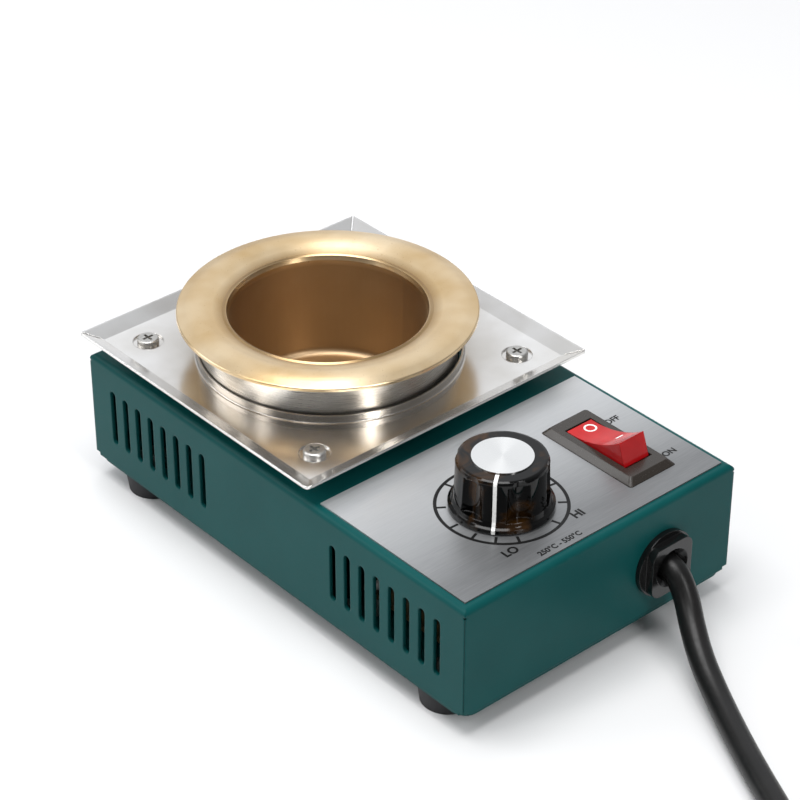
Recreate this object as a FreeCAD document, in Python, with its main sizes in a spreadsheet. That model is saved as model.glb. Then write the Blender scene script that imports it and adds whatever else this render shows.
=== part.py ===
import FreeCAD, Part
import math
import os
import re

import Sketcher

# Solder pot: a folded steel housing with a control panel in front. Behind the panel a
# crucible hangs in a heater can, which stands up through a raised drip plate.
# Millimetres. X runs across, Y from the front (negative) to the back, Z up.
# The origin is the middle of the rest face, level with the soles of the rubber feet.

doc = FreeCAD.newDocument("SolderPot")

# Driving dimensions

SIZES = (
    # Housing
    ("housing_width", 87.5),
    ("housing_length", 142.4),
    ("housing_height", 30.7),
    ("housing_sheet", 1.0),
    ("top_bend", 1.5),
    ("return_width", 8.0),
    ("return_end_gap", 18.0),
    ("return_collar", 1.6),
    ("seam_gap", 0.06),
    ("seam_top_gap", 1.9),
    ("relief_radius", 0.3),
    ("corner_cut", 0.8),
    ("slot_count", 8),
    ("slot_pitch", 5.27),
    ("slot_width", 2.2),
    ("slot_length", 16.0),
    ("slot_rise", 7.3),
    ("front_slots_start", 9.3),
    ("back_slots_start", 9.2),
    ("can_hole_gap", 1.6),
    # Base plate and feet
    ("base_sheet", 1.0),
    ("base_side_inset", 0.5),
    ("base_end_inset", 0.4),
    ("base_corner", 4.0),
    ("foot_side_inset", 8.0),
    ("foot_end_inset", 14.1),
    ("foot_height", 5.5),
    ("foot_sole_radius", 6.7),
    ("foot_top_radius", 7.4),
    ("foot_recess_radius", 4.2),
    ("foot_floor", 2.4),
    ("base_screw_spacing", 50.0),
    # Screws and nuts
    ("large_screw_radius", 2.0),
    ("large_head_radius", 3.7),
    ("large_head_height", 2.2),
    ("large_nut_radius", 4.04),
    ("large_nut_height", 3.2),
    ("small_screw_radius", 1.5),
    ("small_head_radius", 2.8),
    ("small_head_height", 1.6),
    ("small_nut_radius", 3.18),
    ("small_nut_height", 2.4),
    ("screw_clearance", 0.15),
    ("thread_clearance", 0.03),
    ("thread_end", 0.8),
    ("cross_width", 0.7),
    ("cross_depth", 0.8),
    # Drip plate
    ("plate_side_overhang", 1.65),
    ("plate_length", 90.3),
    ("plate_overhang", 1.0),
    ("plate_sheet", 0.8),
    ("plate_gap", 3.7),
    ("plate_edge_run", 4.3),
    ("plate_edge_rise", 1.9),
    ("plate_mitre_gap", 0.35),
    ("plate_near_corner", 1.8),
    ("plate_screw_spacing", 66.2),
    ("dimple_radius", 3.9),
    ("dimple_depth", 0.45),
    ("spacer_radius", 3.25),
    ("collar_shift", 0.5),
    ("collar_radius", 33.4),
    ("collar_sheet", 0.5),
    ("collar_rise", 2.1),
    ("collar_root", 0.4),
    # Crucible and what carries it
    ("pot_shift_x", -0.8),
    ("pot_shift_y", 0.35),
    ("rim_top", 55.4),
    ("rim_radius", 38.0),
    ("rim_sheet", 1.3),
    ("rim_crest", 33.0),
    ("rim_fall", 1.2),
    ("rim_round", 9.0),
    ("rim_edge_round", 0.4),
    ("bore_radius", 25.0),
    ("bore_taper", 0.4),
    ("bore_corner", 2.0),
    ("cup_depth", 30.7),
    ("cup_wall", 1.6),
    ("cup_floor", 2.0),
    ("can_radius", 32.9),
    ("can_taper", 0.6),
    ("can_sheet", 0.7),
    ("can_rim_gap", 2.1),
    ("heater_gap", 0.3),
    ("heater_sheet", 1.6),
    ("heater_rise", 4.0),
    ("heater_length", 20.0),
    ("heater_split", 3.0),
    ("heater_ear", 1.2),
    ("heater_ear_width", 8.0),
    ("ear_gap", 0.5),
    ("clamp_radius", 0.7),
    ("clamp_head_radius", 1.15),
    ("wrap_gap", 0.3),
    ("wrap_window", 18.0),
    ("wool_depth", 8.8),
    ("wool_gap", 0.3),
    ("lead_hole_radius", 2.6),
    ("bridge_sheet", 1.0),
    ("bridge_width", 20.0),
    ("bridge_span", 40.0),
    ("bridge_foot", 9.4),
    ("stud_radius", 2.5),
    ("stud_nut_radius", 4.6),
    ("stud_nut_height", 3.6),
    ("stud_washer_radius", 5.2),
    ("stud_washer_sheet", 0.8),
    # Control panel
    ("label_side_gap", 2.15),
    ("label_front_gap", 2.4),
    ("label_back_gap", 9.0),
    ("label_sheet", 0.4),
    ("control_inset", 24.5),
    # Knob and its potentiometer
    ("knob_side", 33.85),
    ("knob_gap", 0.4),
    ("knob_height", 13.4),
    ("skirt_radius", 12.75),
    ("skirt_edge", 1.0),
    ("skirt_rise", 3.4),
    ("grip_radius", 11.4),
    ("grip_taper", 0.3),
    ("grip_shoulder", 0.9),
    ("knob_recess_radius", 8.6),
    ("knob_recess_depth", 7.0),
    ("flute_count", 6),
    ("flute_radius", 4.4),
    ("flute_depth", 1.7),
    ("flute_roof", 1.6),
    ("rim_flute_depth", 0.8),
    ("cap_radius", 7.4),
    ("cap_sheet", 0.8),
    ("cap_inset", 0.5),
    ("pointer_angle", -142.0),
    ("pointer_width", 0.9),
    ("pointer_depth", 0.5),
    ("pointer_margin", 0.25),
    ("hub_radius", 6.4),
    ("bushing_radius", 4.0),
    ("shaft_radius", 3.0),
    ("shaft_clearance", 0.05),
    ("shaft_flat", 0.6),
    ("shaft_top_gap", 2.6),
    ("thread_radius", 3.5),
    ("thread_top", 0.3),
    ("running_gap", 0.3),
    ("control_nut_radius", 5.8),
    ("control_nut_height", 1.8),
    ("control_washer_radius", 6.0),
    ("control_washer_sheet", 0.4),
    ("control_radius", 8.2),
    ("control_depth", 8.0),
    ("control_floor", 0.8),
    ("control_pin_spacing", 4.5),
    ("control_pin_width", 2.4),
    ("control_pin_length", 5.0),
    ("control_pin_sheet", 0.6),
    ("control_pin_reach", 4.0),
    ("control_pin_rise", 1.2),
    ("set_screw_radius", 1.25),
    ("set_screw_length", 4.6),
    ("set_screw_cover", 0.42),
    # Switch
    ("switch_side", 18.55),
    ("bezel_width", 15.4),
    ("bezel_length", 31.0),
    ("bezel_height", 1.7),
    ("bezel_bevel", 1.5),
    ("bezel_corner", 1.2),
    ("switch_width", 13.0),
    ("switch_length", 28.0),
    ("switch_depth", 16.0),
    ("switch_floor", 1.6),
    ("well_width", 8.8),
    ("well_length", 21.0),
    ("cut_out_gap", 0.1),
    ("rocker_gap", 0.3),
    ("rocker_half", 9.2),
    ("rocker_rise", 4.2),
    ("rocker_dip", 1.6),
    ("rocker_end_half", 9.5),
    ("rocker_end_drop", 2.2),
    ("rocker_belly", 5.0),
    ("rocker_belly_half", 6.4),
    ("rocker_tilt", -17.5),
    ("pivot_rise", 0.4),
    ("pivot_radius", 0.8),
    ("pivot_clearance", 0.06),
    ("pivot_seat", 1.0),
    ("blade_sheet", 0.6),
    ("blade_half", 7.4),
    ("blade_width", 4.0),
    ("contact_radius", 1.1),
    ("contact_gap", 2.2),
    ("terminal_width", 4.0),
    ("terminal_sheet", 0.8),
    ("terminal_drop", 7.0),
    ("terminal_spacing", 6.5),
    ("lamp_radius", 1.4),
    ("lamp_length", 6.0),
    ("lamp_lead", 0.3),
    ("lamp_rise", 2.0),
    # Circuit board
    ("board_width", 44.0),
    ("board_length", 42.0),
    ("board_sheet", 1.6),
    ("board_rise", 6.0),
    ("board_side", 9.25),
    ("board_shift", 0.2),
    ("board_hole_inset", 2.6),
    ("standoff_radius", 2.4),
    ("clip_radius", 1.4),
    ("clip_barb", 0.5),
    ("clip_height", 1.1),
    ("capacitor_width", 13.0),
    ("capacitor_depth", 6.0),
    ("capacitor_height", 11.0),
    ("capacitor_from_left", 14.0),
    ("capacitor_from_front", 9.0),
    ("choke_radius", 7.5),
    ("choke_hole", 3.0),
    ("choke_height", 6.0),
    ("choke_from_right", 11.0),
    ("choke_from_front", 11.0),
    ("heatsink_width", 16.0),
    ("heatsink_depth", 8.0),
    ("heatsink_height", 11.0),
    ("heatsink_sheet", 1.2),
    ("heatsink_from_left", 14.0),
    ("heatsink_from_back", 9.0),
    ("chip_width", 10.0),
    ("chip_depth", 4.4),
    ("chip_height", 9.0),
    # Terminal block, earth lug and wires
    ("block_side", 19.75),
    ("block_reach", 43.55),
    ("block_width", 18.0),
    ("block_depth", 9.0),
    ("block_height", 10.0),
    ("block_bore", 1.6),
    ("block_bore_height", 4.5),
    ("block_pole_spacing", 9.0),
    ("block_screw_gap", 0.1),
    ("earth_side", 14.75),
    ("earth_inset", 30.2),
    ("lug_radius", 3.6),
    ("lug_sheet", 0.8),
    ("lug_barrel_height", 2.4),
    ("wire_radius", 1.0),
    # Cord entry
    ("gland_side", 23.85),
    ("gland_height", 20.2),
    ("gland_flange_radius", 8.8),
    ("gland_flange", 1.4),
    ("gland_head_width", 13.1),
    ("gland_head_height", 14.1),
    ("gland_head_depth", 2.2),
    ("gland_head_corner", 3.0),
    ("gland_neck_radius", 6.3),
    ("gland_neck_length", 7.0),
    ("gland_lip", 0.6),
    ("gland_mouth_radius", 5.2),
    ("gland_bore_gap", 0.1),
    ("wedge_width", 5.0),
    ("wedge_depth", 1.8),
    ("wedge_gap", 0.1),
    ("cord_diameter", 6.4),
    # Put-away coil and plug
    ("coil_shift", 25.9),
    ("coil_reach", 152.3),
    ("coil_outer_turn", 43.5),
    ("coil_inner_turn", 26.5),
    ("coil_layers", 2),
    ("coil_gap", 0.3),
    ("plug_shift", 18.1),
    ("plug_reach", 119.3),
    ("boot_length", 14.0),
    ("boot_small", 4.4),
    ("boot_large", 6.6),
    ("plug_width", 26.0),
    ("plug_height", 23.0),
    ("plug_rest_gap", 0.2),
    ("plug_length", 32.0),
    ("plug_corner", 5.0),
    ("flat_pin_width", 6.3),
    ("flat_pin_sheet", 1.5),
    ("flat_pin_length", 17.0),
    ("flat_pin_spacing", 12.7),
    ("flat_pin_drop", 4.0),
    ("round_pin_radius", 2.4),
    ("round_pin_length", 20.0),
    ("round_pin_rise", 6.0),
)

# Levels and places worked out from them, which several parts share

DERIVED = (
    ("lower_edge", "foot_height + base_sheet"),
    ("housing_top", "lower_edge + housing_height"),
    ("ceiling", "housing_top - housing_sheet"),
    ("housing_middle", "-plate_overhang / 2"),
    ("front_face", "housing_middle - housing_length / 2"),
    ("back_face", "housing_middle + housing_length / 2"),
    ("base_screw_x", "housing_width / 2 - housing_sheet - return_width / 2"),
    ("foot_x", "housing_width / 2 - foot_side_inset"),
    ("foot_y", "housing_length / 2 - foot_end_inset"),
    ("foot_seat", "foot_height - foot_floor"),
    ("small_hole", "small_screw_radius + screw_clearance"),
    ("large_hole", "large_screw_radius + screw_clearance"),
    ("plate_width", "housing_width + 2 * plate_side_overhang"),
    ("plate_middle", "back_face + plate_overhang - plate_length / 2"),
    ("plate_under", "housing_top + plate_gap"),
    ("plate_top", "plate_under + plate_sheet"),
    ("dimple_floor", "plate_top - dimple_depth"),
    ("dimple_under", "plate_under - dimple_depth"),
    ("plate_screw_place", "plate_screw_spacing / 2"),
    ("collar_outside", "collar_radius + collar_sheet"),
    ("collar_top", "plate_top + collar_rise"),
    ("crest_spare", "rim_round * 0.04"),
    ("pot_x", "pot_shift_x"),
    ("pot_y", "plate_middle + pot_shift_y"),
    ("cup_bottom", "rim_top - cup_depth"),
    ("cup_under", "cup_bottom - cup_floor"),
    ("cup_outside", "bore_radius + cup_wall"),
    ("can_floor", "cup_under - wool_depth"),
    ("can_under", "can_floor - can_sheet"),
    ("can_top", "rim_top - can_rim_gap"),
    ("can_inside", "can_radius - can_taper - can_sheet"),
    ("heater_inside", "cup_outside + heater_gap"),
    ("heater_outside", "heater_inside + heater_sheet"),
    ("heater_foot", "cup_under + heater_rise"),
    ("lead_height", "cup_under + heater_rise / 2"),
    ("bridge_under", "can_under - bridge_sheet"),
    ("bridge_screw_x", "bridge_span / 2 + bridge_foot / 2"),
    ("bridge_foot_top", "lower_edge + bridge_sheet"),
    ("label_top", "housing_top + label_sheet"),
    ("label_width", "housing_width - 2 * label_side_gap"),
    ("label_back", "plate_middle - plate_screw_place - spacer_radius - label_back_gap"),
    ("label_length", "label_back - front_face - label_front_gap"),
    ("label_middle", "label_back - label_length / 2"),
    ("control_row", "front_face + control_inset"),
    ("knob_x", "knob_side - housing_width / 2"),
    ("switch_x", "housing_width / 2 - switch_side"),
    ("washer_top", "label_top + control_washer_sheet"),
    ("nut_top", "washer_top + control_nut_height"),
    ("thread_end_height", "nut_top + thread_top"),
    ("knob_foot", "label_top + knob_gap"),
    ("knob_top", "knob_foot + knob_height"),
    ("cap_seat", "knob_top - cap_inset"),
    ("hub_foot", "thread_end_height + running_gap"),
    ("recess_roof", "knob_foot + knob_recess_depth"),
    ("shaft_top", "cap_seat - shaft_top_gap"),
    ("control_under", "ceiling - control_depth"),
    ("set_screw_height", "recess_roof + set_screw_radius + set_screw_cover"),
    ("bezel_top", "label_top + bezel_height"),
    ("pivot_height", "label_top + pivot_rise"),
    ("switch_under", "label_top - switch_depth"),
    ("well_floor", "switch_under + switch_floor"),
    ("board_x", "board_side + board_width / 2 - housing_width / 2"),
    ("board_y", "control_row + board_shift"),
    ("board_under", "lower_edge + board_rise"),
    ("board_top", "board_under + board_sheet"),
    ("clip_hole", "clip_radius + screw_clearance"),
    ("block_x", "housing_width / 2 - block_side"),
    ("block_y", "pot_y - block_reach"),
    ("earth_x", "housing_width / 2 - earth_side"),
    ("earth_y", "front_face + earth_inset"),
    ("gland_x", "housing_width / 2 - gland_side"),
    ("gland_face", "front_face - gland_flange - gland_head_depth"),
    ("gland_bore", "cord_diameter / 2 + gland_bore_gap"),
    ("coil_outside", "coil_outer_turn + cord_diameter / 2 + coil_gap"),
    ("coil_inside", "coil_inner_turn - cord_diameter / 2 - coil_gap"),
    ("coil_x", "gland_x - coil_shift"),
    ("coil_y", "front_face - coil_reach"),
    ("plug_x", "gland_x + plug_shift"),
    ("boot_start", "front_face - plug_reach"),
    ("plug_axis", "plug_height / 2 + plug_rest_gap"),
    ("plug_back", "boot_start + boot_length"),
    ("plug_front", "plug_back + plug_length"),
)

sheet = doc.addObject("Spreadsheet::Sheet", "Sizes")
for row, (name, amount) in enumerate(SIZES, start=1):
    sheet.set("A%d" % row, name)
    sheet.set("B%d" % row, str(amount))
    sheet.setAlias("B%d" % row, name)
for row, (name, formula) in enumerate(DERIVED, start=1):
    sheet.set("D%d" % row, name)
    sheet.set("E%d" % row, "=" + formula)
    sheet.setAlias("E%d" % row, name)
doc.recompute()

NAMES = {name for name, _ in SIZES + DERIVED}
NODES = []


def size(text):
    """The number that a size's name, or a formula of sizes, stands for."""
    return float(sheet.evalExpression(text))


def linked(text):
    """The formula with each size's name pointing at its cell in the sheet."""

    def point(word):
        return "Sizes." + word.group() if word.group() in NAMES else word.group()

    return re.sub(r"[a-z_]+", point, text)


def tie(thing, prop, text):
    thing.setExpression(prop, linked(text))


def place(thing, at):
    for axis, text in zip("xyz", at):
        tie(thing, "Placement.Base." + axis, text)


def keep(thing, node):
    """Marks a finished sub-part, which is written to the file of that name."""
    thing.Label = node
    NODES.append(thing)
    return thing


# Primitives and booleans

UPWARD = FreeCAD.Vector(0, 0, 1)
TO_BACK = FreeCAD.Rotation(UPWARD, FreeCAD.Vector(0, 1, 0))
TO_RIGHT = FreeCAD.Rotation(UPWARD, FreeCAD.Vector(1, 0, 0))


def primitive(kind, name, at, turn=None, **sizes):
    thing = doc.addObject("Part::" + kind, name)
    if turn:
        thing.Placement.Rotation = turn
    for prop, text in sizes.items():
        tie(thing, prop, text)
    place(thing, at)
    return thing


def block(name, at, length, width, height):
    """A box centred on at in X and Y that stands on it."""
    x, y, z = at
    corner = ("%s - (%s) / 2" % (x, length), "%s - (%s) / 2" % (y, width), z)
    return primitive("Box", name, corner, Length=length, Width=width, Height=height)


def turned_block(name, at, angle, reach, length, width, height):
    """A box that starts at reach from the upright line through at, along the angle."""
    x, y, z = at
    thing = primitive("Box", name, at, Length=length, Width=width, Height=height)
    thing.Placement.Rotation.Axis = UPWARD
    tie(thing, "Placement.Rotation.Angle", angle)
    along, aside = "(%s)" % reach, "(%s) / 2" % width
    shift_x = "%s * cos(%s) + %s * sin(%s)" % (along, angle, aside, angle)
    shift_y = "%s * sin(%s) - %s * cos(%s)" % (along, angle, aside, angle)
    place(thing, ("%s + %s" % (x, shift_x), "%s + %s" % (y, shift_y), z))
    return thing


def rod(name, at, radius, height, turn=None):
    return primitive("Cylinder", name, at, turn, Radius=radius, Height=height)


def cone(name, at, start, end, height, turn=None):
    return primitive("Cone", name, at, turn, Radius1=start, Radius2=end, Height=height)


def slanted_box(name, at, low, high, height):
    """A box whose four sides lean: low and high are its half sizes at the foot and the top."""
    return primitive(
        "Wedge",
        name,
        at,
        FreeCAD.Rotation(FreeCAD.Vector(1, 0, 0), 90),
        Xmin="-(%s)" % low[0],
        Xmax=low[0],
        Zmin="-(%s)" % low[1],
        Zmax=low[1],
        Ymin="0",
        Ymax=height,
        X2min="-(%s)" % high[0],
        X2max=high[0],
        Z2min="-(%s)" % high[1],
        Z2max=high[1],
    )


def fuse(name, *shapes):
    thing = doc.addObject("Part::MultiFuse", name)
    thing.Shapes = list(shapes)
    return thing


def common(name, *shapes):
    thing = doc.addObject("Part::MultiCommon", name)
    thing.Shapes = list(shapes)
    return thing


def cut(name, base, *tools):
    thing = doc.addObject("Part::Cut", name)
    thing.Base = base
    thing.Tool = tools[0] if len(tools) == 1 else fuse(name + "_tools", *tools)
    return thing


def ring(name, at, outside, inside, height):
    return cut(name, rod(name + "_outer", at, outside, height), rod(name + "_inner", at, inside, height))


def round_part(name, base, radius, test):
    """Fillets the edges of base for which test is true."""
    doc.recompute()
    amount = size(radius)
    thing = doc.addObject("Part::Fillet", name)
    thing.Base = base
    thing.Edges = [(index + 1, amount, amount) for index, edge in enumerate(base.Shape.Edges) if test(edge)]
    return thing


def group(node, things):
    thing = doc.addObject("Part::Compound", node)
    thing.Links = list(things)
    return keep(thing, node)


# Sketched bodies


def new_body(name, at=("0", "0", "0")):
    body = doc.addObject("PartDesign::Body", name)
    place(body, at)
    return body


def new_sketch(body, name, role, offset=None):
    sketch = body.newObject("Sketcher::SketchObject", name)
    plane = next(feature for feature in body.Origin.OriginFeatures if feature.Role == role)
    sketch.AttachmentSupport = [(plane, "")]
    sketch.MapMode = "FlatFace"
    if offset:
        tie(sketch, "AttachmentOffset.Base.z", offset)
    return sketch


def hold(sketch, kind, *where, text):
    """A measured constraint whose value is a formula of the sheet."""
    number = sketch.addConstraint(Sketcher.Constraint(kind, *where, size(text)))
    sketch.setExpression("Constraints[%d]" % number, linked(text))


def hold_point(sketch, item, point, across, up):
    """Holds a point of a line, circle or arc at two formulas from the sketch's origin."""
    for kind, axis, text in (("DistanceX", -2, across), ("DistanceY", -1, up)):
        if text == "0":
            sketch.addConstraint(Sketcher.Constraint("PointOnObject", item, point, axis))
        else:
            hold(sketch, kind, -1, 1, item, point, text=text)


def add_outline(sketch, points):
    """A closed outline of straight lines through points, each two formulas."""
    spots = [FreeCAD.Vector(size(across), size(up), 0) for across, up in points]
    first = sketch.GeometryCount
    for start, end in zip(spots, spots[1:] + spots[:1]):
        sketch.addGeometry(Part.LineSegment(start, end), False)
    for index in range(len(spots)):
        after = first + (index + 1) % len(spots)
        sketch.addConstraint(Sketcher.Constraint("Coincident", first + index, 2, after, 1))
    for index, (across, up) in enumerate(points):
        hold_point(sketch, first + index, 1, across, up)


def add_rectangle(sketch, across, up, length, height):
    """A rectangle with its middle at across, up."""
    left, right = ("%s %s (%s) / 2" % (across, sign, length) for sign in "-+")
    bottom, top = ("%s %s (%s) / 2" % (up, sign, height) for sign in "-+")
    add_outline(sketch, [(left, bottom), (right, bottom), (right, top), (left, top)])


def add_circle(sketch, across, up, radius):
    middle = FreeCAD.Vector(size(across), size(up), 0)
    number = sketch.addGeometry(Part.Circle(middle, UPWARD, size(radius)), False)
    hold(sketch, "Radius", number, text=radius)
    hold_point(sketch, number, 3, across, up)


def add_slot(sketch, across, low, high, radius):
    """An upright slot with round ends: its axis at across, its arcs' middles at low and high."""
    middle, reach = size(across), size(radius)
    bottom, top = size(low), size(high)
    left, right = middle - reach, middle + reach
    upper = Part.Circle(FreeCAD.Vector(middle, top, 0), UPWARD, reach)
    lower = Part.Circle(FreeCAD.Vector(middle, bottom, 0), UPWARD, reach)
    first = sketch.GeometryCount
    fall = Part.LineSegment(FreeCAD.Vector(left, top, 0), FreeCAD.Vector(left, bottom, 0))
    climb = Part.LineSegment(FreeCAD.Vector(right, bottom, 0), FreeCAD.Vector(right, top, 0))
    sketch.addGeometry(Part.ArcOfCircle(upper, 0, math.pi), False)
    sketch.addGeometry(fall, False)
    sketch.addGeometry(Part.ArcOfCircle(lower, math.pi, 2 * math.pi), False)
    sketch.addGeometry(climb, False)
    for index in range(4):
        sketch.addConstraint(Sketcher.Constraint("Tangent", first + index, 2, first + (index + 1) % 4, 1))
    sketch.addConstraint(Sketcher.Constraint("Equal", first, first + 2))
    hold(sketch, "Radius", first, text=radius)
    hold_point(sketch, first, 3, across, high)
    hold_point(sketch, first + 2, 3, across, low)


def pad(body, name, sketch, length, midway=False):
    feature = body.newObject("PartDesign::Pad", name)
    feature.Profile = sketch
    tie(feature, "Length", length)
    feature.Midplane = midway
    body.Tip = feature
    return feature


def pocket(body, name, sketch, length, upward=False):
    """Cuts from the sketch, against its normal or along it, and sees that it takes material away."""
    doc.recompute()
    before = body.Shape.Volume
    feature = body.newObject("PartDesign::Pocket", name)
    feature.Profile = sketch
    tie(feature, "Length", length)
    feature.Reversed = upward
    body.Tip = feature
    doc.recompute()
    if body.Shape.Volume >= before:
        raise RuntimeError(name + " cuts nothing")
    return feature


def round_edges(body, name, radius, test):
    """Fillets the edges of the body's last feature for which test is true."""
    doc.recompute()
    base = body.Tip
    found = ["Edge%d" % (index + 1) for index, edge in enumerate(base.Shape.Edges) if test(edge)]
    feature = body.newObject("PartDesign::Fillet", name)
    feature.Base = (base, found)
    tie(feature, "Radius", radius)
    body.Tip = feature
    return feature


def circle_at(radius, height):
    """A test for a level circle of that radius and height about the body's own axis."""

    def test(edge):
        curve = edge.Curve
        if not isinstance(curve, Part.Circle):
            return False
        return abs(curve.Radius - size(radius)) < 1e-4 and abs(curve.Center.z - size(height)) < 1e-4

    return test


def straight_along(axis):
    """A test for a straight edge along the axis."""

    def test(edge):
        if not isinstance(edge.Curve, Part.Line):
            return False
        return abs(edge.tangentAt(edge.FirstParameter).dot(axis)) > 0.999

    return test


def turned(name, points, at=("0", "0", "0")):
    """A solid of revolution about the upright line through at: points are radius, height."""
    body = new_body(name, at)
    sketch = new_sketch(body, name + "_profile", "XZ_Plane")
    add_outline(sketch, points)
    feature = body.newObject("PartDesign::Revolution", name + "_turn")
    feature.Profile = sketch
    feature.ReferenceAxis = (sketch, ["V_Axis"])
    feature.Angle = 360.0
    body.Tip = feature
    return body


def four_places(x, y, middle="0"):
    """The four places at plus and minus x and y about the middle, as formulas."""
    return [("%s(%s)" % (left, x), "%s %s (%s)" % (middle, front, y)) for front in "-+" for left in ("-", "")]


# Fasteners


def screw(name, at, kind, length, upward=False):
    """A pan head screw seated at at, with its shank pointing down or upward."""
    x, y, z = at
    head, tall = kind + "_head_radius", kind + "_head_height"
    if upward:
        crown = "%s - %s" % (z, tall)
        head_foot, shank_foot, recess = crown, z, crown
    else:
        crown = "%s + %s" % (z, tall)
        head_foot, shank_foot, recess = z, "%s - (%s)" % (z, length), crown + " - cross_depth"
    blank = rod(name + "_head", (x, y, head_foot), head, tall)

    def at_crown(edge):
        return isinstance(edge.Curve, Part.Circle) and abs(edge.Curve.Center.z - size(crown)) < 1e-6

    dome = round_part(name + "_dome", blank, tall + " * 0.4", at_crown)
    shank = rod(name + "_shank", (x, y, shank_foot), kind + "_screw_radius", length)
    arms = [
        block(name + "_cross_x", (x, y, recess), head + " * 1.1", "cross_width", "cross_depth"),
        block(name + "_cross_y", (x, y, recess), "cross_width", head + " * 1.1", "cross_depth"),
    ]
    return cut(name, fuse(name + "_body", dome, shank), *arms)


def nut(name, at, radius, height, hole):
    """A hexagon nut that stands on at."""
    blank = primitive("Prism", name + "_blank", at, Polygon="6", Circumradius=radius, Height=height)
    return cut(name, blank, rod(name + "_hole", at, hole, height))


# Cords and wires


def tube_path(points):
    """Straight runs joined by tangent arcs, each as large as its two runs allow."""
    spots = [FreeCAD.Vector(*point) for point in points]
    edges, radii, start = [], [], spots[0]
    for before, corner, after in zip(spots, spots[1:], spots[2:]):
        back, ahead = before - corner, after - corner
        reach = 0.45 * min(back.Length, ahead.Length)
        half_turn = (math.pi - back.getAngle(ahead)) / 2
        radius = reach / math.tan(half_turn)
        radii.append(radius)
        back.normalize()
        ahead.normalize()
        inward = (back + ahead).normalize()
        entry, leave = corner + back * reach, corner + ahead * reach
        middle = corner + inward * (radius / math.cos(half_turn) - radius)
        edges.append(Part.LineSegment(start, entry).toShape())
        edges.append(Part.Arc(entry, middle, leave).toShape())
        start = leave
    edges.append(Part.LineSegment(start, spots[-1]).toShape())
    return Part.Wire(edges), radii


def tube(name, points, radius):
    """A round cord or wire along a route of chosen points."""
    wire, radii = tube_path(points)
    start = FreeCAD.Vector(*points[0])
    heading = FreeCAD.Vector(*points[1]) - start
    section = Part.Wire(Part.Circle(start, heading, radius).toShape())
    thing = doc.addObject("Part::Feature", name)
    thing.Shape = wire.makePipeShell([section], True, False, 2)
    ratio = thing.Shape.Volume / (math.pi * radius ** 2 * wire.Length)
    bends = " ".join("%.1f" % bend for bend in radii)
    print("%s: length %.1f, volume ratio %.4f, bend radii %s" % (name, wire.Length, ratio, bends))
    return thing


# Housing


def make_housing():
    """One folded sheet: the top, four walls, and inward returns along the lower long edges."""
    body = new_body("housing_folded", ("0", "housing_middle", "lower_edge"))
    outside = new_sketch(body, "housing_outside", "XY_Plane")
    add_rectangle(outside, "0", "0", "housing_width", "housing_length")
    pad(body, "housing_block", outside, "housing_height")
    top = size("housing_height")
    round_edges(body, "housing_bends", "top_bend", lambda edge: abs(edge.BoundBox.ZMin - top) < 1e-6)
    inside = new_sketch(body, "housing_inside", "XY_Plane")
    inner_length = "housing_length - 2 * housing_sheet"
    add_rectangle(inside, "0", "0", "housing_width - 2 * housing_sheet", inner_length)
    pocket(body, "housing_hollow", inside, "housing_height - housing_sheet", upward=True)
    returns = new_sketch(body, "return_outline", "XY_Plane")
    return_length = inner_length + " - 2 * return_end_gap"
    for side in ("", "-"):
        middle = side + "(housing_width / 2 - housing_sheet / 2 - return_width / 2)"
        add_rectangle(returns, middle, "0", "return_width + housing_sheet", return_length)
    pad(body, "housing_returns", returns, "housing_sheet")
    collars = new_sketch(body, "collar_outline", "XY_Plane")
    holes = new_sketch(body, "return_hole_outline", "XY_Plane")
    for x, y in four_places("base_screw_x", "base_screw_spacing / 2"):
        add_circle(collars, x, y, "small_hole + housing_sheet")
        add_circle(holes, x, y, "small_screw_radius + thread_clearance")
    pad(body, "return_collars", collars, "housing_sheet + return_collar")
    pocket(body, "return_holes", holes, "housing_sheet + return_collar", upward=True)
    cut_top_openings(body)
    cut_side_slots(body)
    cord_hole = new_sketch(body, "cord_hole_outline", "XZ_Plane", "housing_length / 2")
    add_circle(cord_hole, "gland_x", "gland_height - lower_edge", "gland_neck_radius + screw_clearance")
    pocket(body, "cord_hole", cord_hole, "housing_sheet")
    keep(cut("housing_shell", body, *corner_tools()), "housing_shell")


def cut_top_openings(body):
    """The holes for the heater can, the control, the switch and the drip plate's screws."""
    openings = new_sketch(body, "top_openings_outline", "XY_Plane", "housing_height")
    add_circle(openings, "pot_x", "pot_y - housing_middle", "can_radius + can_hole_gap")
    row = "control_row - housing_middle"
    add_circle(openings, "knob_x", row, "thread_radius + screw_clearance")
    width, length = "switch_width + 2 * cut_out_gap", "switch_length + 2 * cut_out_gap"
    add_rectangle(openings, "switch_x", row, width, length)
    for x, y in four_places("plate_screw_place", "plate_screw_place", "plate_middle - housing_middle"):
        add_circle(openings, x, y, "small_hole")
    pocket(body, "top_openings", openings, "housing_sheet")


def cut_side_slots(body):
    """Two rows of upright vent slots, cut through both long walls."""
    outline = new_sketch(body, "slot_outline", "YZ_Plane", "housing_width / 2")
    low = "slot_rise + slot_width / 2"
    high = "slot_rise + slot_length - slot_width / 2"
    row = "slot_pitch * (slot_count - 1)"
    for start in (
        "-(housing_length / 2 - front_slots_start)",
        "housing_length / 2 - back_slots_start - " + row,
    ):
        add_slot(outline, start, low, high, "slot_width / 2")
    first = pocket(body, "first_slots", outline, "housing_width")
    rows = body.newObject("PartDesign::LinearPattern", "slot_rows")
    rows.Originals = [first]
    rows.Direction = (outline, ["H_Axis"])
    tie(rows, "Length", row)
    tie(rows, "Occurrences", "slot_count")
    body.Tip = rows


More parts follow.
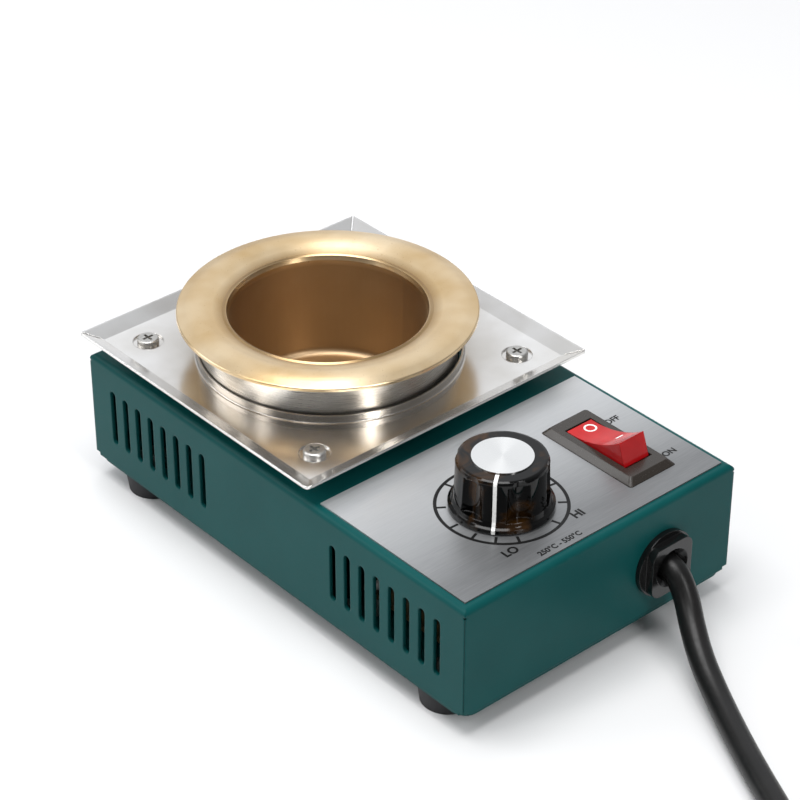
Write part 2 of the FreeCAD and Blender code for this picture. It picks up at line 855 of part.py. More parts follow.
def corner_tools():
    """At each upright corner the open seam, its relief hole and the cut lower tips of both walls."""
    tools = []
    tip = "corner_cut * sqrt(2)"
    tip_foot = "lower_edge - corner_cut"
    for side, x, out in (("left", "-housing_width / 2", -1), ("right", "housing_width / 2", 1)):
        for end, y, back in (("front", "front_face", -1), ("back", "back_face", 1)):
            name = "corner_%s_%s" % (side, end)
            angle = "45" if out == back else "135"
            foot = (x, y, "lower_edge")
            long, tall = "4 * housing_sheet", "housing_height - seam_top_gap"
            seam = turned_block(name + "_seam", foot, angle, "-2 * housing_sheet", long, "seam_gap", tall)
            tools.append(seam)
            start = (
                "%s + %d * housing_sheet" % (x, out),
                "%s + %d * housing_sheet" % (y, back),
                "housing_top - seam_top_gap",
            )
            inward = FreeCAD.Rotation(UPWARD, FreeCAD.Vector(-out, -back, 0))
            tools.append(rod(name + "_relief", start, "relief_radius", long, inward))
            side_tip = ("%s - %d * housing_sheet / 2 - housing_sheet" % (x, out), y, tip_foot)
            end_tip = (x, "%s - %d * housing_sheet / 2 - housing_sheet" % (y, back), tip_foot)
            about_x = FreeCAD.Rotation(FreeCAD.Vector(1, 0, 0), 45)
            about_y = FreeCAD.Rotation(FreeCAD.Vector(0, 1, 0), -45)
            side_cut = {"Length": "2 * housing_sheet", "Width": tip, "Height": tip}
            end_cut = {"Length": tip, "Width": "2 * housing_sheet", "Height": tip}
            tools.append(primitive("Box", name + "_side_tip", side_tip, about_x, **side_cut))
            tools.append(primitive("Box", name + "_end_tip", end_tip, about_y, **end_cut))
    return tools


# Base plate and feet

FEET = tuple(
    ("foot_%s_%s" % (end, side), sign_x + "foot_x", "housing_middle %s foot_y" % sign_y)
    for end, sign_y in (("front", "-"), ("back", "+"))
    for side, sign_x in (("left", "-"), ("right", ""))
)
INTO_RETURNS = four_places("base_screw_x", "base_screw_spacing / 2", "housing_middle")
INTO_BRIDGE = [("pot_x - bridge_screw_x", "pot_y"), ("pot_x + bridge_screw_x", "pot_y")]
INTO_LUG = [("earth_x", "earth_y")]
BOARD_HOLE = ("board_width / 2 - board_hole_inset", "board_length / 2 - board_hole_inset")
STANDOFFS = [("board_x + " + x, y) for x, y in four_places(*BOARD_HOLE, "board_y")]


def make_base_plate():
    body = new_body("base_sheet_body", ("0", "0", "foot_height"))
    outline = new_sketch(body, "base_outline", "XY_Plane")
    width, length = "housing_width - 2 * base_side_inset", "housing_length - 2 * base_end_inset"
    add_rectangle(outline, "0", "housing_middle", width, length)
    pad(body, "base_pad", outline, "base_sheet")
    round_edges(body, "base_corners", "base_corner", straight_along(UPWARD))
    holes = new_sketch(body, "base_hole_outline", "XY_Plane")
    for _, x, y in FEET:
        add_circle(holes, x, y, "large_hole")
    for x, y in INTO_RETURNS + INTO_BRIDGE + INTO_LUG:
        add_circle(holes, x, y, "small_hole")
    for x, y in STANDOFFS:
        add_circle(holes, x, y, "clip_radius + thread_clearance")
    pocket(body, "base_holes", holes, "base_sheet", upward=True)
    keep(body, "base_plate")


def make_feet():
    """Four moulded rubber feet, each with a recess in its sole for the screw that holds it."""
    profile = [
        ("foot_recess_radius", "0"),
        ("foot_sole_radius", "0"),
        ("foot_top_radius", "foot_height"),
        ("large_hole", "foot_height"),
        ("large_hole", "foot_seat"),
        ("foot_recess_radius", "foot_seat"),
    ]
    length = "foot_floor + base_sheet + large_nut_height + thread_end"
    hole = "large_screw_radius + thread_clearance"
    screws, nuts = [], []
    for name, x, y in FEET:
        keep(turned(name + "_rubber", profile, (x, y, "0")), name)
        screws.append(screw(name + "_screw", (x, y, "foot_seat"), "large", length, upward=True))
        nuts.append(nut(name + "_nut", (x, y, "lower_edge"), "large_nut_radius", "large_nut_height", hole))
    group("foot_screws", screws)
    group("foot_nuts", nuts)


def make_bottom_fasteners():
    """Small screws up through the base plate: four into the returns, three with nuts of their own."""
    length = "base_sheet + bridge_sheet + small_nut_height + thread_end"
    hole = "small_screw_radius + thread_clearance"
    screws, nuts = [], []
    for number, (x, y) in enumerate(INTO_RETURNS + INTO_BRIDGE + INTO_LUG, start=1):
        screws.append(screw("bottom_screw_%d" % number, (x, y, "foot_height"), "small", length, upward=True))
    for places, seat in ((INTO_BRIDGE, "bridge_foot_top"), (INTO_LUG, "lower_edge + lug_sheet")):
        for x, y in places:
            name = "bottom_nut_%d" % (len(nuts) + 1)
            nuts.append(nut(name, (x, y, seat), "small_nut_radius", "small_nut_height", hole))
    group("bottom_screws", screws)
    group("bottom_nuts", nuts)


# Drip plate

PLATE_SCREWS = four_places("plate_screw_place", "plate_screw_place", "plate_middle")


def make_drip_plate():
    """A stainless tray with rising edges, dimpled at its screws, with a collar round the can."""
    foot = ("0", "plate_middle", "plate_under")
    half_x, half_y = "plate_width / 2", "plate_length / 2"
    low = (half_x + " - plate_edge_run", half_y + " - plate_edge_run")
    tall = "(2 * plate_edge_rise + plate_sheet)"
    spread = "plate_edge_run * %s / plate_edge_rise" % tall
    high = ("%s + %s" % (low[0], spread), "%s + %s" % (low[1], spread))
    outer = slanted_box("tray_outer", foot, low, high, tall)
    inner = slanted_box("tray_inner", ("0", "plate_middle", "plate_top"), low, high, tall)
    trim_height = "plate_edge_rise + plate_sheet"
    trim = block("tray_trim", foot, "plate_width", "plate_length", trim_height)
    middle = size("plate_middle")

    def near_corner(edge):
        spot = edge.BoundBox.Center
        return straight_along(UPWARD)(edge) and spot.x < 0 and spot.y < middle

    edge_trim = round_part("tray_edge", trim, "plate_near_corner", near_corner)
    trimmed = common("tray_sheet", cut("tray", outer, inner), edge_trim)
    hole_at = ("-collar_shift", "plate_middle", "plate_under")
    tools = [rod("tray_hole", hole_at, "collar_outside + collar_root", trim_height)]
    for name, x, y, angle in (
        ("front_right", "", "-", "-45"),
        ("back_left", "-", "+", "135"),
        ("back_right", "", "+", "45"),
    ):
        at = ("%s(%s)" % (x, low[0]), "plate_middle %s (%s)" % (y, low[1]), "plate_under")
        mitre = ("plate_sheet", "2 * plate_edge_run", "plate_mitre_gap", trim_height)
        tools.append(turned_block("mitre_" + name, at, angle, *mitre))
    pressed, drilled = [], []
    for number, (x, y) in enumerate(PLATE_SCREWS, start=1):
        name = "dimple_%d" % number
        pressed.append(rod(name, (x, y, "dimple_under"), "dimple_radius + plate_sheet / 2", "plate_sheet"))
        drilled.append(rod(name + "_top", (x, y, "dimple_floor"), "dimple_radius", "plate_sheet"))
        drilled.append(rod(name + "_hole", (x, y, "dimple_under"), "small_hole", "plate_sheet"))
    collar = turned(
        "collar",
        [
            ("collar_radius", "plate_under"),
            ("collar_outside + collar_root", "plate_under"),
            ("collar_outside + collar_root", "plate_top"),
            ("collar_outside + collar_root * (1 - cos(45))", "plate_top + collar_root * (1 - cos(45))"),
            ("collar_outside", "plate_top + collar_root"),
            ("collar_outside", "collar_top"),
            ("collar_radius", "collar_top"),
        ],
        ("-collar_shift", "plate_middle", "0"),
    )
    tray = fuse("tray_with_dimples", cut("tray_cut", trimmed, *tools), *pressed)
    keep(fuse("tray_with_collar", cut("tray_drilled", tray, *drilled), collar), "drip_plate")


def make_plate_fasteners():
    """Screws through the drip plate's dimples, spacers under it and nuts below the housing's top."""
    length = "dimple_floor - ceiling + small_nut_height + thread_end"
    spacer_height = "dimple_under - housing_top"
    hole = "small_screw_radius + thread_clearance"
    nut_foot = "ceiling - small_nut_height"
    screws, spacers, nuts = [], [], []
    for number, (x, y) in enumerate(PLATE_SCREWS, start=1):
        screws.append(screw("plate_screw_%d" % number, (x, y, "dimple_floor"), "small", length))
        foot = (x, y, "housing_top")
        spacers.append(ring("plate_spacer_%d" % number, foot, "spacer_radius", "small_hole", spacer_height))
        name = "plate_nut_%d" % number
        nuts.append(nut(name, (x, y, nut_foot), "small_nut_radius", "small_nut_height", hole))
    group("plate_screws", screws)
    group("plate_spacers", spacers)
    group("plate_nuts", nuts)


# Crucible and what carries it

POT = ("pot_x", "pot_y", "0")


def make_crucible():
    """A turned cup with a thin bore lip, a groove round it and a crowned rim."""
    body = turned(
        "crucible_cup",
        [
            ("0", "cup_bottom"),
            ("bore_radius - bore_taper", "cup_bottom"),
            ("bore_radius", "rim_top - 3.2 * rim_sheet"),
            ("bore_radius + 0.05 * rim_sheet", "rim_top - 2 * rim_sheet"),
            ("bore_radius + 0.35 * rim_sheet", "rim_top - 1.15 * rim_sheet"),
            ("bore_radius + 0.75 * rim_sheet", "rim_top - 0.95 * rim_sheet"),
            ("bore_radius + 1.2 * rim_sheet", "rim_top - 1.15 * rim_sheet"),
            ("bore_radius + 1.7 * rim_sheet", "rim_top - rim_sheet"),
            ("rim_crest", "rim_top + crest_spare"),
            ("rim_radius", "rim_top - rim_fall"),
            ("rim_radius", "rim_top - rim_fall - 0.6 * rim_sheet"),
            ("rim_crest", "rim_top - rim_sheet"),
            ("cup_outside + rim_sheet", "rim_top - 2.1 * rim_sheet"),
            ("cup_outside", "rim_top - 2.8 * rim_sheet"),
            ("cup_outside", "cup_under"),
            ("0", "cup_under"),
        ],
        POT,
    )
    round_edges(body, "crucible_bottom", "bore_corner", circle_at("bore_radius - bore_taper", "cup_bottom"))
    round_edges(body, "rim_crown", "rim_round", circle_at("rim_crest", "rim_top + crest_spare"))
    round_edges(body, "rim_edge", "rim_edge_round", circle_at("rim_radius", "rim_top - rim_fall"))
    keep(body, "crucible")


def make_heater_can():
    """A drawn steel can: its wall widens a little upwards, its floor is bolted to the bridge."""
    stud_hole = "stud_radius + screw_clearance"
    wall = turned(
        "can_wall",
        [
            (stud_hole, "can_under"),
            ("can_radius - can_taper", "can_under"),
            ("can_radius", "can_top"),
            ("can_radius - can_sheet", "can_top"),
            ("can_inside", "can_floor"),
            (stud_hole, "can_floor"),
        ],
        POT,
    )
    outside = ("pot_x", "pot_y - can_radius - can_sheet", "lead_height")
    lead_hole = rod("lead_hole", outside, "lead_hole_radius", "4 * can_sheet", TO_BACK)
    keep(cut("heater_can_drilled", wall, lead_hole), "heater_can")


def make_heater():
    """A band heater clamped round the cup by two ears and a screw."""
    foot = ("pot_x", "pot_y", "heater_foot")
    front = "pot_y - heater_outside"
    band = ring("band", foot, "heater_outside", "heater_inside", "heater_length")
    split_at = ("pot_x", front, "heater_foot")
    split = block("band_split", split_at, "heater_split", "3 * heater_sheet", "heater_length")
    ear_reach = "(can_inside - heater_outside - ear_gap)"
    ear_y = "%s - %s / 2 + heater_sheet / 2" % (front, ear_reach)
    ear_foot = "heater_foot + (heater_length - heater_ear_width) / 2"
    ears = []
    for side, sign in (("left", "-"), ("right", "+")):
        at = ("pot_x %s (heater_split + heater_ear) / 2" % sign, ear_y, ear_foot)
        ears.append(block("ear_" + side, at, "heater_ear", ear_reach + " + heater_sheet", "heater_ear_width"))
    clamp_y, clamp_z = "%s - %s / 2" % (front, ear_reach), "heater_foot + heater_length / 2"
    grip = "heater_split + 2 * heater_ear"
    start = ("pot_x - heater_split / 2 - heater_ear", clamp_y, clamp_z)
    hole = rod("clamp_hole", start, "clamp_radius + thread_clearance", grip, TO_RIGHT)
    whole = fuse("band_with_ears", cut("band_open", band, split), *ears)
    keep(cut("band_drilled", whole, hole), "heater_band")
    head_start = (start[0] + " - heater_ear", clamp_y, clamp_z)
    nut_start = ("pot_x + heater_split / 2 + heater_ear", clamp_y, clamp_z)
    head = rod("clamp_head", head_start, "clamp_head_radius", "heater_ear", TO_RIGHT)
    shank = rod("clamp_shank", start, "clamp_radius", grip, TO_RIGHT)
    clamp_nut = rod("clamp_nut", nut_start, "clamp_head_radius", "heater_ear", TO_RIGHT)
    keep(fuse("clamp", head, shank, clamp_nut), "heater_clamp_screw")


def make_insulation():
    """Wool outside the heater, open in front for its ears, and a thick disc below the cup."""
    foot = ("pot_x", "pot_y", "cup_under + wrap_gap")
    height = "heater_length + 2 * heater_rise - wrap_gap"
    wrap = ring("wrap", foot, "can_inside - wrap_gap", "heater_outside + wrap_gap", height)
    window_at = ("pot_x", "pot_y - can_inside", "cup_under + wrap_gap")
    window = block("wrap_opening", window_at, "wrap_window", "4 * heater_sheet", height)
    keep(cut("wrap_open", wrap, window), "insulation_wrap")
    wool_foot = ("pot_x", "pot_y", "can_floor")
    hole = "stud_radius + screw_clearance"
    keep(ring("wool", wool_foot, "can_inside - wool_gap", hole, "wool_depth"), "insulation_base")


def make_pot_mount():
    """A stud from the cup down through the can and a hat-shaped bridge, with washer and nut."""
    length = "(cup_under - bridge_under + stud_washer_sheet + stud_nut_height * 0.8)"
    keep(rod("stud", ("pot_x", "pot_y", "cup_under - " + length), "stud_radius", length), "crucible_stud")
    loose, threaded = "stud_radius + screw_clearance", "stud_radius + thread_clearance"
    washer_foot = ("pot_x", "pot_y", "bridge_under - stud_washer_sheet")
    keep(ring("washer", washer_foot, "stud_washer_radius", loose, "stud_washer_sheet"), "stud_washer")
    nut_foot = ("pot_x", "pot_y", "bridge_under - stud_washer_sheet - stud_nut_height")
    keep(nut("stud_hexagon", nut_foot, "stud_nut_radius", "stud_nut_height", threaded), "stud_nut")
    body = new_body("bridge", POT)
    hat = new_sketch(body, "bridge_outline", "XZ_Plane")
    outer, foot_end = "bridge_span / 2", "bridge_span / 2 + bridge_foot"
    inner = outer + " - bridge_sheet"
    right = [
        (foot_end, "lower_edge"),
        (foot_end, "bridge_foot_top"),
        (outer, "bridge_foot_top"),
        (outer, "can_under"),
    ]
    underside = [
        ("-(%s)" % inner, "lower_edge"),
        ("-(%s)" % inner, "bridge_under"),
        (inner, "bridge_under"),
        (inner, "lower_edge"),
    ]
    add_outline(hat, right + [("-(%s)" % x, z) for x, z in reversed(right)] + underside)
    pad(body, "bridge_pad", hat, "bridge_width", midway=True)
    holes = new_sketch(body, "bridge_hole_outline", "XY_Plane", "can_under")
    add_circle(holes, "0", "0", loose)
    for side in ("-", ""):
        add_circle(holes, side + "bridge_screw_x", "0", "small_hole")
    pocket(body, "bridge_holes", holes, "can_under - lower_edge")
    keep(body, "support_bridge")


# Control panel


def make_label():
    body = new_body("label_sheet_body", ("0", "0", "housing_top"))
    outline = new_sketch(body, "label_outline", "XY_Plane")
    add_rectangle(outline, "0", "label_middle", "label_width", "label_length")
    pad(body, "label_pad", outline, "label_sheet")
    holes = new_sketch(body, "label_hole_outline", "XY_Plane", "label_sheet")
    add_circle(holes, "knob_x", "control_row", "thread_radius + screw_clearance")
    width, length = "switch_width + 2 * cut_out_gap", "switch_length + 2 * cut_out_gap"
    add_rectangle(holes, "switch_x", "control_row", width, length)
    pocket(body, "label_holes", holes, "label_sheet")
    keep(body, "control_label")


def knob_outside(inset, top):
    """The knob's outline from its foot to the top, drawn in by inset.

    From the skirt's edge a quarter of an ellipse sweeps up to the grip.
    """
    points = [("skirt_radius - %s" % inset, "0")]
    for angle in (0, 30, 60, 90):
        radius = "grip_radius + (skirt_radius - grip_radius) * (1 - sin(%d)) - %s" % (angle, inset)
        points.append((radius, "skirt_edge + skirt_rise * (1 - cos(%d))" % angle))
    shoulder = "grip_radius - grip_taper - " + inset
    points.append((shoulder, top + " - grip_shoulder"))
    points.append((shoulder + " - grip_shoulder * 0.3", top + " - grip_shoulder * 0.3"))
    points.append((shoulder + " - grip_shoulder", top))
    return points


def cut_flutes(body, name, depth, roof):
    """Hollows round the grip, halfway between its lobes, which stop short of the top by roof."""
    floor = "skirt_edge + skirt_rise * 0.4"
    outline = new_sketch(body, name + "_outline", "XY_Plane", floor)
    reach = "(grip_radius - %s + flute_radius)" % depth
    angle = "pointer_angle + 180 / flute_count"
    add_circle(outline, "%s * cos(%s)" % (reach, angle), "%s * sin(%s)" % (reach, angle), "flute_radius")
    first = pocket(body, name, outline, "knob_height - %s - (%s)" % (roof, floor), upward=True)
    around = body.newObject("PartDesign::PolarPattern", name + "_pattern")
    around.Originals = [first]
    around.Axis = (outline, ["N_Axis"])
    around.Angle = 360.0
    tie(around, "Occurrences", "flute_count")
    body.Tip = around


def make_knob():
    """A fluted knob with a skirt, a brass bushing, a spun cap and a pointer line let in."""
    at = ("knob_x", "control_row", "knob_foot")
    bore_end = "shaft_top - knob_foot + running_gap"
    body = turned(
        "knob_blank",
        knob_outside("0", "knob_height")
        + [
            ("cap_radius", "knob_height"),
            ("cap_radius", "knob_height - cap_inset"),
            ("0", "knob_height - cap_inset"),
            ("0", bore_end),
            ("bushing_radius", bore_end),
            ("bushing_radius", "hub_foot - knob_foot"),
            ("hub_radius", "hub_foot - knob_foot"),
            ("hub_radius", "knob_recess_depth"),
            ("knob_recess_radius", "knob_recess_depth"),
            ("knob_recess_radius", "0"),
        ],
        at,
    )
    cut_flutes(body, "deep_flute", "flute_depth", "flute_roof")
    cut_flutes(body, "rim_flute", "rim_flute_depth", "0")
    skin = turned("knob_form", knob_outside("0", "knob_height") + [("0", "knob_height"), ("0", "0")], at)
    inset_top = "(knob_height - pointer_depth)"
    core_points = knob_outside("pointer_depth", inset_top) + [("0", inset_top), ("0", "0")]
    core = turned("knob_core", core_points, at)
    bar_size = ("cap_radius + pointer_margin", "skirt_radius", "pointer_width", "knob_height")
    bar = turned_block("pointer_bar", at, "pointer_angle", *bar_size)
    pointer = keep(cut("pointer", common("pointer_blank", skin, bar), core), "knob_pointer")
    screw_from = "(shaft_radius - shaft_flat)"
    screw_start = (
        "knob_x - %s * cos(pointer_angle)" % screw_from,
        "control_row - %s * sin(pointer_angle)" % screw_from,
        "set_screw_height",
    )
    opposite = math.radians(size("pointer_angle") + 180)
    outward = FreeCAD.Rotation(UPWARD, FreeCAD.Vector(math.cos(opposite), math.sin(opposite), 0))
    screw_way = rod("set_screw_way", screw_start, "set_screw_radius", "skirt_radius", outward)
    keep(cut("knob_moulding", body, pointer, screw_way), "knob_body")
    sleeve_at = ("knob_x", "control_row", "hub_foot")
    bore = "shaft_radius + shaft_clearance"
    sleeve = ring("bushing", sleeve_at, "bushing_radius", bore, "shaft_top - hub_foot")
    keep(cut("bushing_drilled", sleeve, screw_way), "knob_bushing")
    keep(rod("set_screw", screw_start, "set_screw_radius", "set_screw_length", outward), "knob_set_screw")
    keep(rod("cap", ("knob_x", "control_row", "cap_seat"), "cap_radius", "cap_sheet"), "knob_cap")
    shaft_foot = "(control_under + control_floor + shaft_clearance)"
    shaft = rod("shaft", ("knob_x", "control_row", shaft_foot), "shaft_radius", "shaft_top - " + shaft_foot)
    flat_angle, flat_width = "(pointer_angle + 180)", "3 * shaft_radius"
    flat = turned_block("flat", sleeve_at, flat_angle, screw_from, "shaft_radius", flat_width, "knob_height")
    keep(cut("shaft_with_flat", shaft, flat), "control_shaft")


def make_control():
    """The potentiometer below the panel: its body and threaded neck, a washer and a nut."""
    x, y = "knob_x", "control_row"
    drum = rod("control_drum", (x, y, "control_under"), "control_radius", "control_depth")
    neck = rod("control_neck", (x, y, "ceiling"), "thread_radius", "thread_end_height - ceiling")
    pins, pin_size = [], ("control_pin_width", "control_pin_length", "control_pin_sheet")
    pin_y = y + " - control_radius - control_pin_reach + control_pin_length / 2"
    for number in (-1, 0, 1):
        at = ("%s + %d * control_pin_spacing" % (x, number), pin_y, "control_under + control_pin_rise")
        pins.append(block("control_pin_%d" % (number + 2), at, *pin_size))
    bore_at = (x, y, "control_under + control_floor")
    bore = rod("control_bore", bore_at, "shaft_radius + shaft_clearance", "knob_height + control_depth")
    keep(cut("control_bored", fuse("control_solid", drum, neck, *pins), bore), "control_body")
    hole = "thread_radius + thread_clearance"
    washer_size = ("control_washer_radius", hole, "control_washer_sheet")
    keep(ring("star_washer", (x, y, "label_top"), *washer_size), "control_washer")
    nut_size = ("control_nut_radius", "control_nut_height", hole)
    keep(nut("panel_nut", (x, y, "washer_top"), *nut_size), "control_nut")


# Switch

TERMINAL_ROWS = ["control_row + %d * terminal_spacing" % number for number in (-1, 0, 1)]
LAMP_ROW = "control_row + well_length / 2 - 1.5 * lamp_radius"


def lamp_leads(name):
    """The lamp's two leads, down through the switch's floor."""
    leads = []
    for side, sign in (("left", "-"), ("right", "+")):
        at = ("switch_x %s lamp_length / 3" % sign, LAMP_ROW, "switch_under")
        leads.append(rod("%s_%s" % (name, side), at, "lamp_lead", "switch_floor + lamp_rise"))
    return leads


def make_switch():
    """A snap-in rocker switch: the box with its bevelled bezel, pin, terminals and lamp."""
    x, y = "switch_x", "control_row"
    box = block("switch_box", (x, y, "switch_under"), "switch_width", "switch_length", "switch_depth")
    low = ("bezel_width / 2", "bezel_length / 2")
    high = (low[0] + " - bezel_bevel", low[1] + " - bezel_bevel")
    bezel = slanted_box("bezel", (x, y, "label_top"), low, high, "bezel_height")
    tall = 0.9 * size("bezel_height")
    rounded = round_part("bezel_round", bezel, "bezel_corner", lambda edge: edge.BoundBox.ZLength > tall)
    well = block("switch_well", (x, y, "well_floor"), "well_width", "well_length", "bezel_top - well_floor")
    pin_at = (x + " - well_width / 2 - pivot_seat", y, "pivot_height")
    pin_length = "well_width + 2 * pivot_seat"
    pin_way = rod("pivot_way", pin_at, "pivot_radius", pin_length, TO_RIGHT)
    slits, blades = [], []
    for number, row in enumerate(TERMINAL_ROWS, start=1):
        at = (x, row, "switch_under")
        slit = "terminal_slit_%d" % number
        slits.append(block(slit, at, "terminal_width", "terminal_sheet", "switch_floor"))
        foot = (x, row, "switch_under - terminal_drop")
        blade_height = "terminal_drop + switch_floor"
        blades.append(block("terminal_%d" % number, foot, "terminal_width", "terminal_sheet", blade_height))
    solid = fuse("switch_solid", box, rounded)
    keep(cut("switch_hollow", solid, well, pin_way, *slits, *lamp_leads("lamp_way")), "switch_body")
    keep(rod("pivot", pin_at, "pivot_radius", pin_length, TO_RIGHT), "switch_pivot")
    contact_top = "pivot_height - rocker_belly - blade_sheet - contact_gap"
    post_at = (x, TERMINAL_ROWS[0], "well_floor")
    post = rod("contact_post", post_at, "contact_radius", contact_top + " - well_floor")
    group("switch_terminals", [fuse("live_terminal", blades[0], post), blades[1], blades[2]])
    lamp_at = (x + " - lamp_length / 2", LAMP_ROW, "well_floor + lamp_rise")
    bulb = rod("lamp_bulb", lamp_at, "lamp_radius", "lamp_length", TO_RIGHT)
    keep(fuse("lamp", bulb, *lamp_leads("lamp_lead")), "neon_lamp")


def make_rocker():
    """The rocker with its hollowed top, off: front end up. A spring blade lies under its belly."""
    at = ("switch_x", "control_row", "pivot_height")
    body = new_body("rocker_body", at)
    outline = new_sketch(body, "rocker_outline", "YZ_Plane")
    right = [
        ("rocker_belly_half", "-rocker_belly"),
        ("rocker_end_half", "-rocker_end_drop"),
        ("rocker_half", "rocker_rise"),
    ]
    add_outline(outline, right + [("-" + across, up) for across, up in reversed(right)])
    pad(body, "rocker_pad", outline, "well_width - 2 * rocker_gap", midway=True)
    hollow = new_sketch(body, "rocker_hollow_outline", "YZ_Plane", "well_width")
    radius = "(rocker_half * rocker_half + rocker_dip * rocker_dip) / (2 * rocker_dip)"
    add_circle(hollow, "0", "rocker_rise - rocker_dip + " + radius, radius)
    pocket(body, "rocker_hollow", hollow, "2 * well_width")
    pin_hole = new_sketch(body, "rocker_hole_outline", "YZ_Plane", "well_width")
    add_circle(pin_hole, "0", "0", "pivot_radius + pivot_clearance")
    pocket(body, "rocker_hole", pin_hole, "2 * well_width")
    blade = new_body("blade_body", at)
    strip = new_sketch(blade, "blade_outline", "YZ_Plane")
    add_rectangle(strip, "0", "-rocker_belly - blade_sheet / 2", "2 * blade_half", "blade_sheet")
    pad(blade, "blade_pad", strip, "blade_width", midway=True)
    for thing in (body, blade):
        thing.Placement.Rotation.Axis = FreeCAD.Vector(1, 0, 0)
        tie(thing, "Placement.Rotation.Angle", "rocker_tilt")
    keep(body, "switch_rocker")
    keep(blade, "switch_contact_blade")


# Electronics


def make_board():
    """The circuit board, clipped onto four standoffs that are pressed into the base plate."""
    body = new_body("board_body", ("0", "0", "board_under"))
    outline = new_sketch(body, "board_outline", "XY_Plane")
    add_rectangle(outline, "board_x", "board_y", "board_width", "board_length")
    pad(body, "board_pad", outline, "board_sheet")
    holes = new_sketch(body, "board_hole_outline", "XY_Plane")
    for x, y in STANDOFFS:
        add_circle(holes, x, y, "clip_hole")
    pocket(body, "board_holes", holes, "board_sheet", upward=True)
    keep(body, "circuit_board")
    profile = [
        ("0", "foot_height"),
        ("clip_radius", "foot_height"),
        ("clip_radius", "lower_edge"),
        ("standoff_radius", "lower_edge"),
        ("standoff_radius", "board_under"),
        ("clip_radius", "board_under"),
        ("clip_radius", "board_top"),
        ("clip_radius + clip_barb", "board_top"),
        ("clip_radius * 0.6", "board_top + clip_height"),
        ("0", "board_top + clip_height"),
    ]
    standoffs = []
    for number, (x, y) in enumerate(STANDOFFS, start=1):
        standoffs.append(turned("standoff_%d" % number, profile, (x, y, "0")))
    group("board_standoffs", standoffs)


def make_board_parts():
    """What stands on the board: a film capacitor, a choke, and a triac on its channel heatsink."""
    left, front = "board_x - board_width / 2", "board_y - board_length / 2"
    capacitor_at = (left + " + capacitor_from_left", front + " + capacitor_from_front", "board_top")
    capacitor_size = ("capacitor_width", "capacitor_depth", "capacitor_height")
    keep(block("capacitor_block", capacitor_at, *capacitor_size), "capacitor")
    choke_at = ("board_x + board_width / 2 - choke_from_right", front + " + choke_from_front", "board_top")
    keep(ring("choke_ring", choke_at, "choke_radius", "choke_hole", "choke_height"), "choke")
    sink_x, sink_y = left + " + heatsink_from_left", "board_y + board_length / 2 - heatsink_from_back"
    channel_size = ("heatsink_width", "heatsink_depth", "heatsink_height")
    channel = block("sink", (sink_x, sink_y, "board_top"), *channel_size)
    hollow_at = (sink_x, sink_y + " + heatsink_sheet", "board_top")
    hollow_width = "heatsink_width - 2 * heatsink_sheet"
    hollow = block("sink_hollow", hollow_at, hollow_width, "heatsink_depth", "heatsink_height")
    keep(cut("sink_channel", channel, hollow), "heatsink")
    chip_at = (sink_x, sink_y + " - heatsink_depth / 2 - chip_depth / 2", "board_top")
    keep(block("chip", chip_at, "chip_width", "chip_depth", "chip_height"), "triac")


def make_terminal_block():
    """A ceramic block with two bores for the heater's leads, each with a screw from above."""
    at = ("block_x", "block_y", "lower_edge")
    blank = block("block_blank", at, "block_width", "block_depth", "block_height")
    seat_height = "block_bore_height + wire_radius + block_screw_gap"
    ways, screws = [], []
    for side, sign in (("left", "-"), ("right", "+")):
        x = "block_x %s block_pole_spacing / 2" % sign
        start = (x, "block_y - block_depth / 2", "lower_edge + block_bore_height")
        ways.append(rod("pole_way_" + side, start, "block_bore", "block_depth", TO_BACK))
        seat = (x, "block_y", "lower_edge + " + seat_height)
        ways.append(rod("pole_screw_way_" + side, seat, "small_screw_radius", "block_height"))
        tall = "block_height - (%s) - block_screw_gap" % seat_height
        screws.append(rod("pole_screw_" + side, seat, "small_screw_radius", tall))
    keep(cut("block_bored", blank, *ways), "terminal_block")
    group("terminal_screws", screws)


# Wires inside the housing. Each point of a route is counted in wire radii from one of these places.

TERMINAL_END = "switch_under - terminal_drop / 2"
LEFT_POLE = "block_x - block_pole_spacing / 2"
RIGHT_POLE = "block_x + block_pole_spacing / 2"
BLOCK_FRONT = "block_y - block_depth / 2"
BLOCK_BACK = "block_y + block_depth / 2"
POLE_HEIGHT = "lower_edge + block_bore_height"
PLACES = {
    "cord": ("gland_x", "front_face", "gland_height"),
    "live": ("switch_x", TERMINAL_ROWS[0] + " - terminal_sheet / 2", TERMINAL_END),
    "load": ("switch_x", TERMINAL_ROWS[1] + " + terminal_sheet / 2", TERMINAL_END),
    "board": ("board_x + board_width / 2", "board_y", "board_top"),
    "lug": ("earth_x", "earth_y - lug_radius", "lower_edge"),
    "left pole": (LEFT_POLE, BLOCK_FRONT, POLE_HEIGHT),
    "right pole": (RIGHT_POLE, BLOCK_FRONT, POLE_HEIGHT),
    "left lead": (LEFT_POLE, BLOCK_BACK, POLE_HEIGHT),
    "right lead": (RIGHT_POLE, BLOCK_BACK, POLE_HEIGHT),
    "heater": ("pot_x", "pot_y - heater_outside", "lead_height"),
}
SWITCH_WIRE = (
    ("cord", 1.5, 9.9, -0.2),
    ("cord", 1.5, 11.8, -0.2),
    ("live", -1.2, -4.5, -1.0),
    ("live", 0, -2.8, -1.7),
    ("live", 0, -0.2, -1.7),
)
BOARD_WIRE = (
    ("load", 0, 0.2, -2.0),
    ("load", 0, 3.6, -2.0),
    ("load", -6.0, 5.0, -1.6),
    ("board", 6.0, 4.7, 5.8),
    ("board", 0.6, 4.7, 5.6),
    ("board", -2.1, 4.7, 4.3),
    ("board", -2.1, 4.7, 0.2),
)
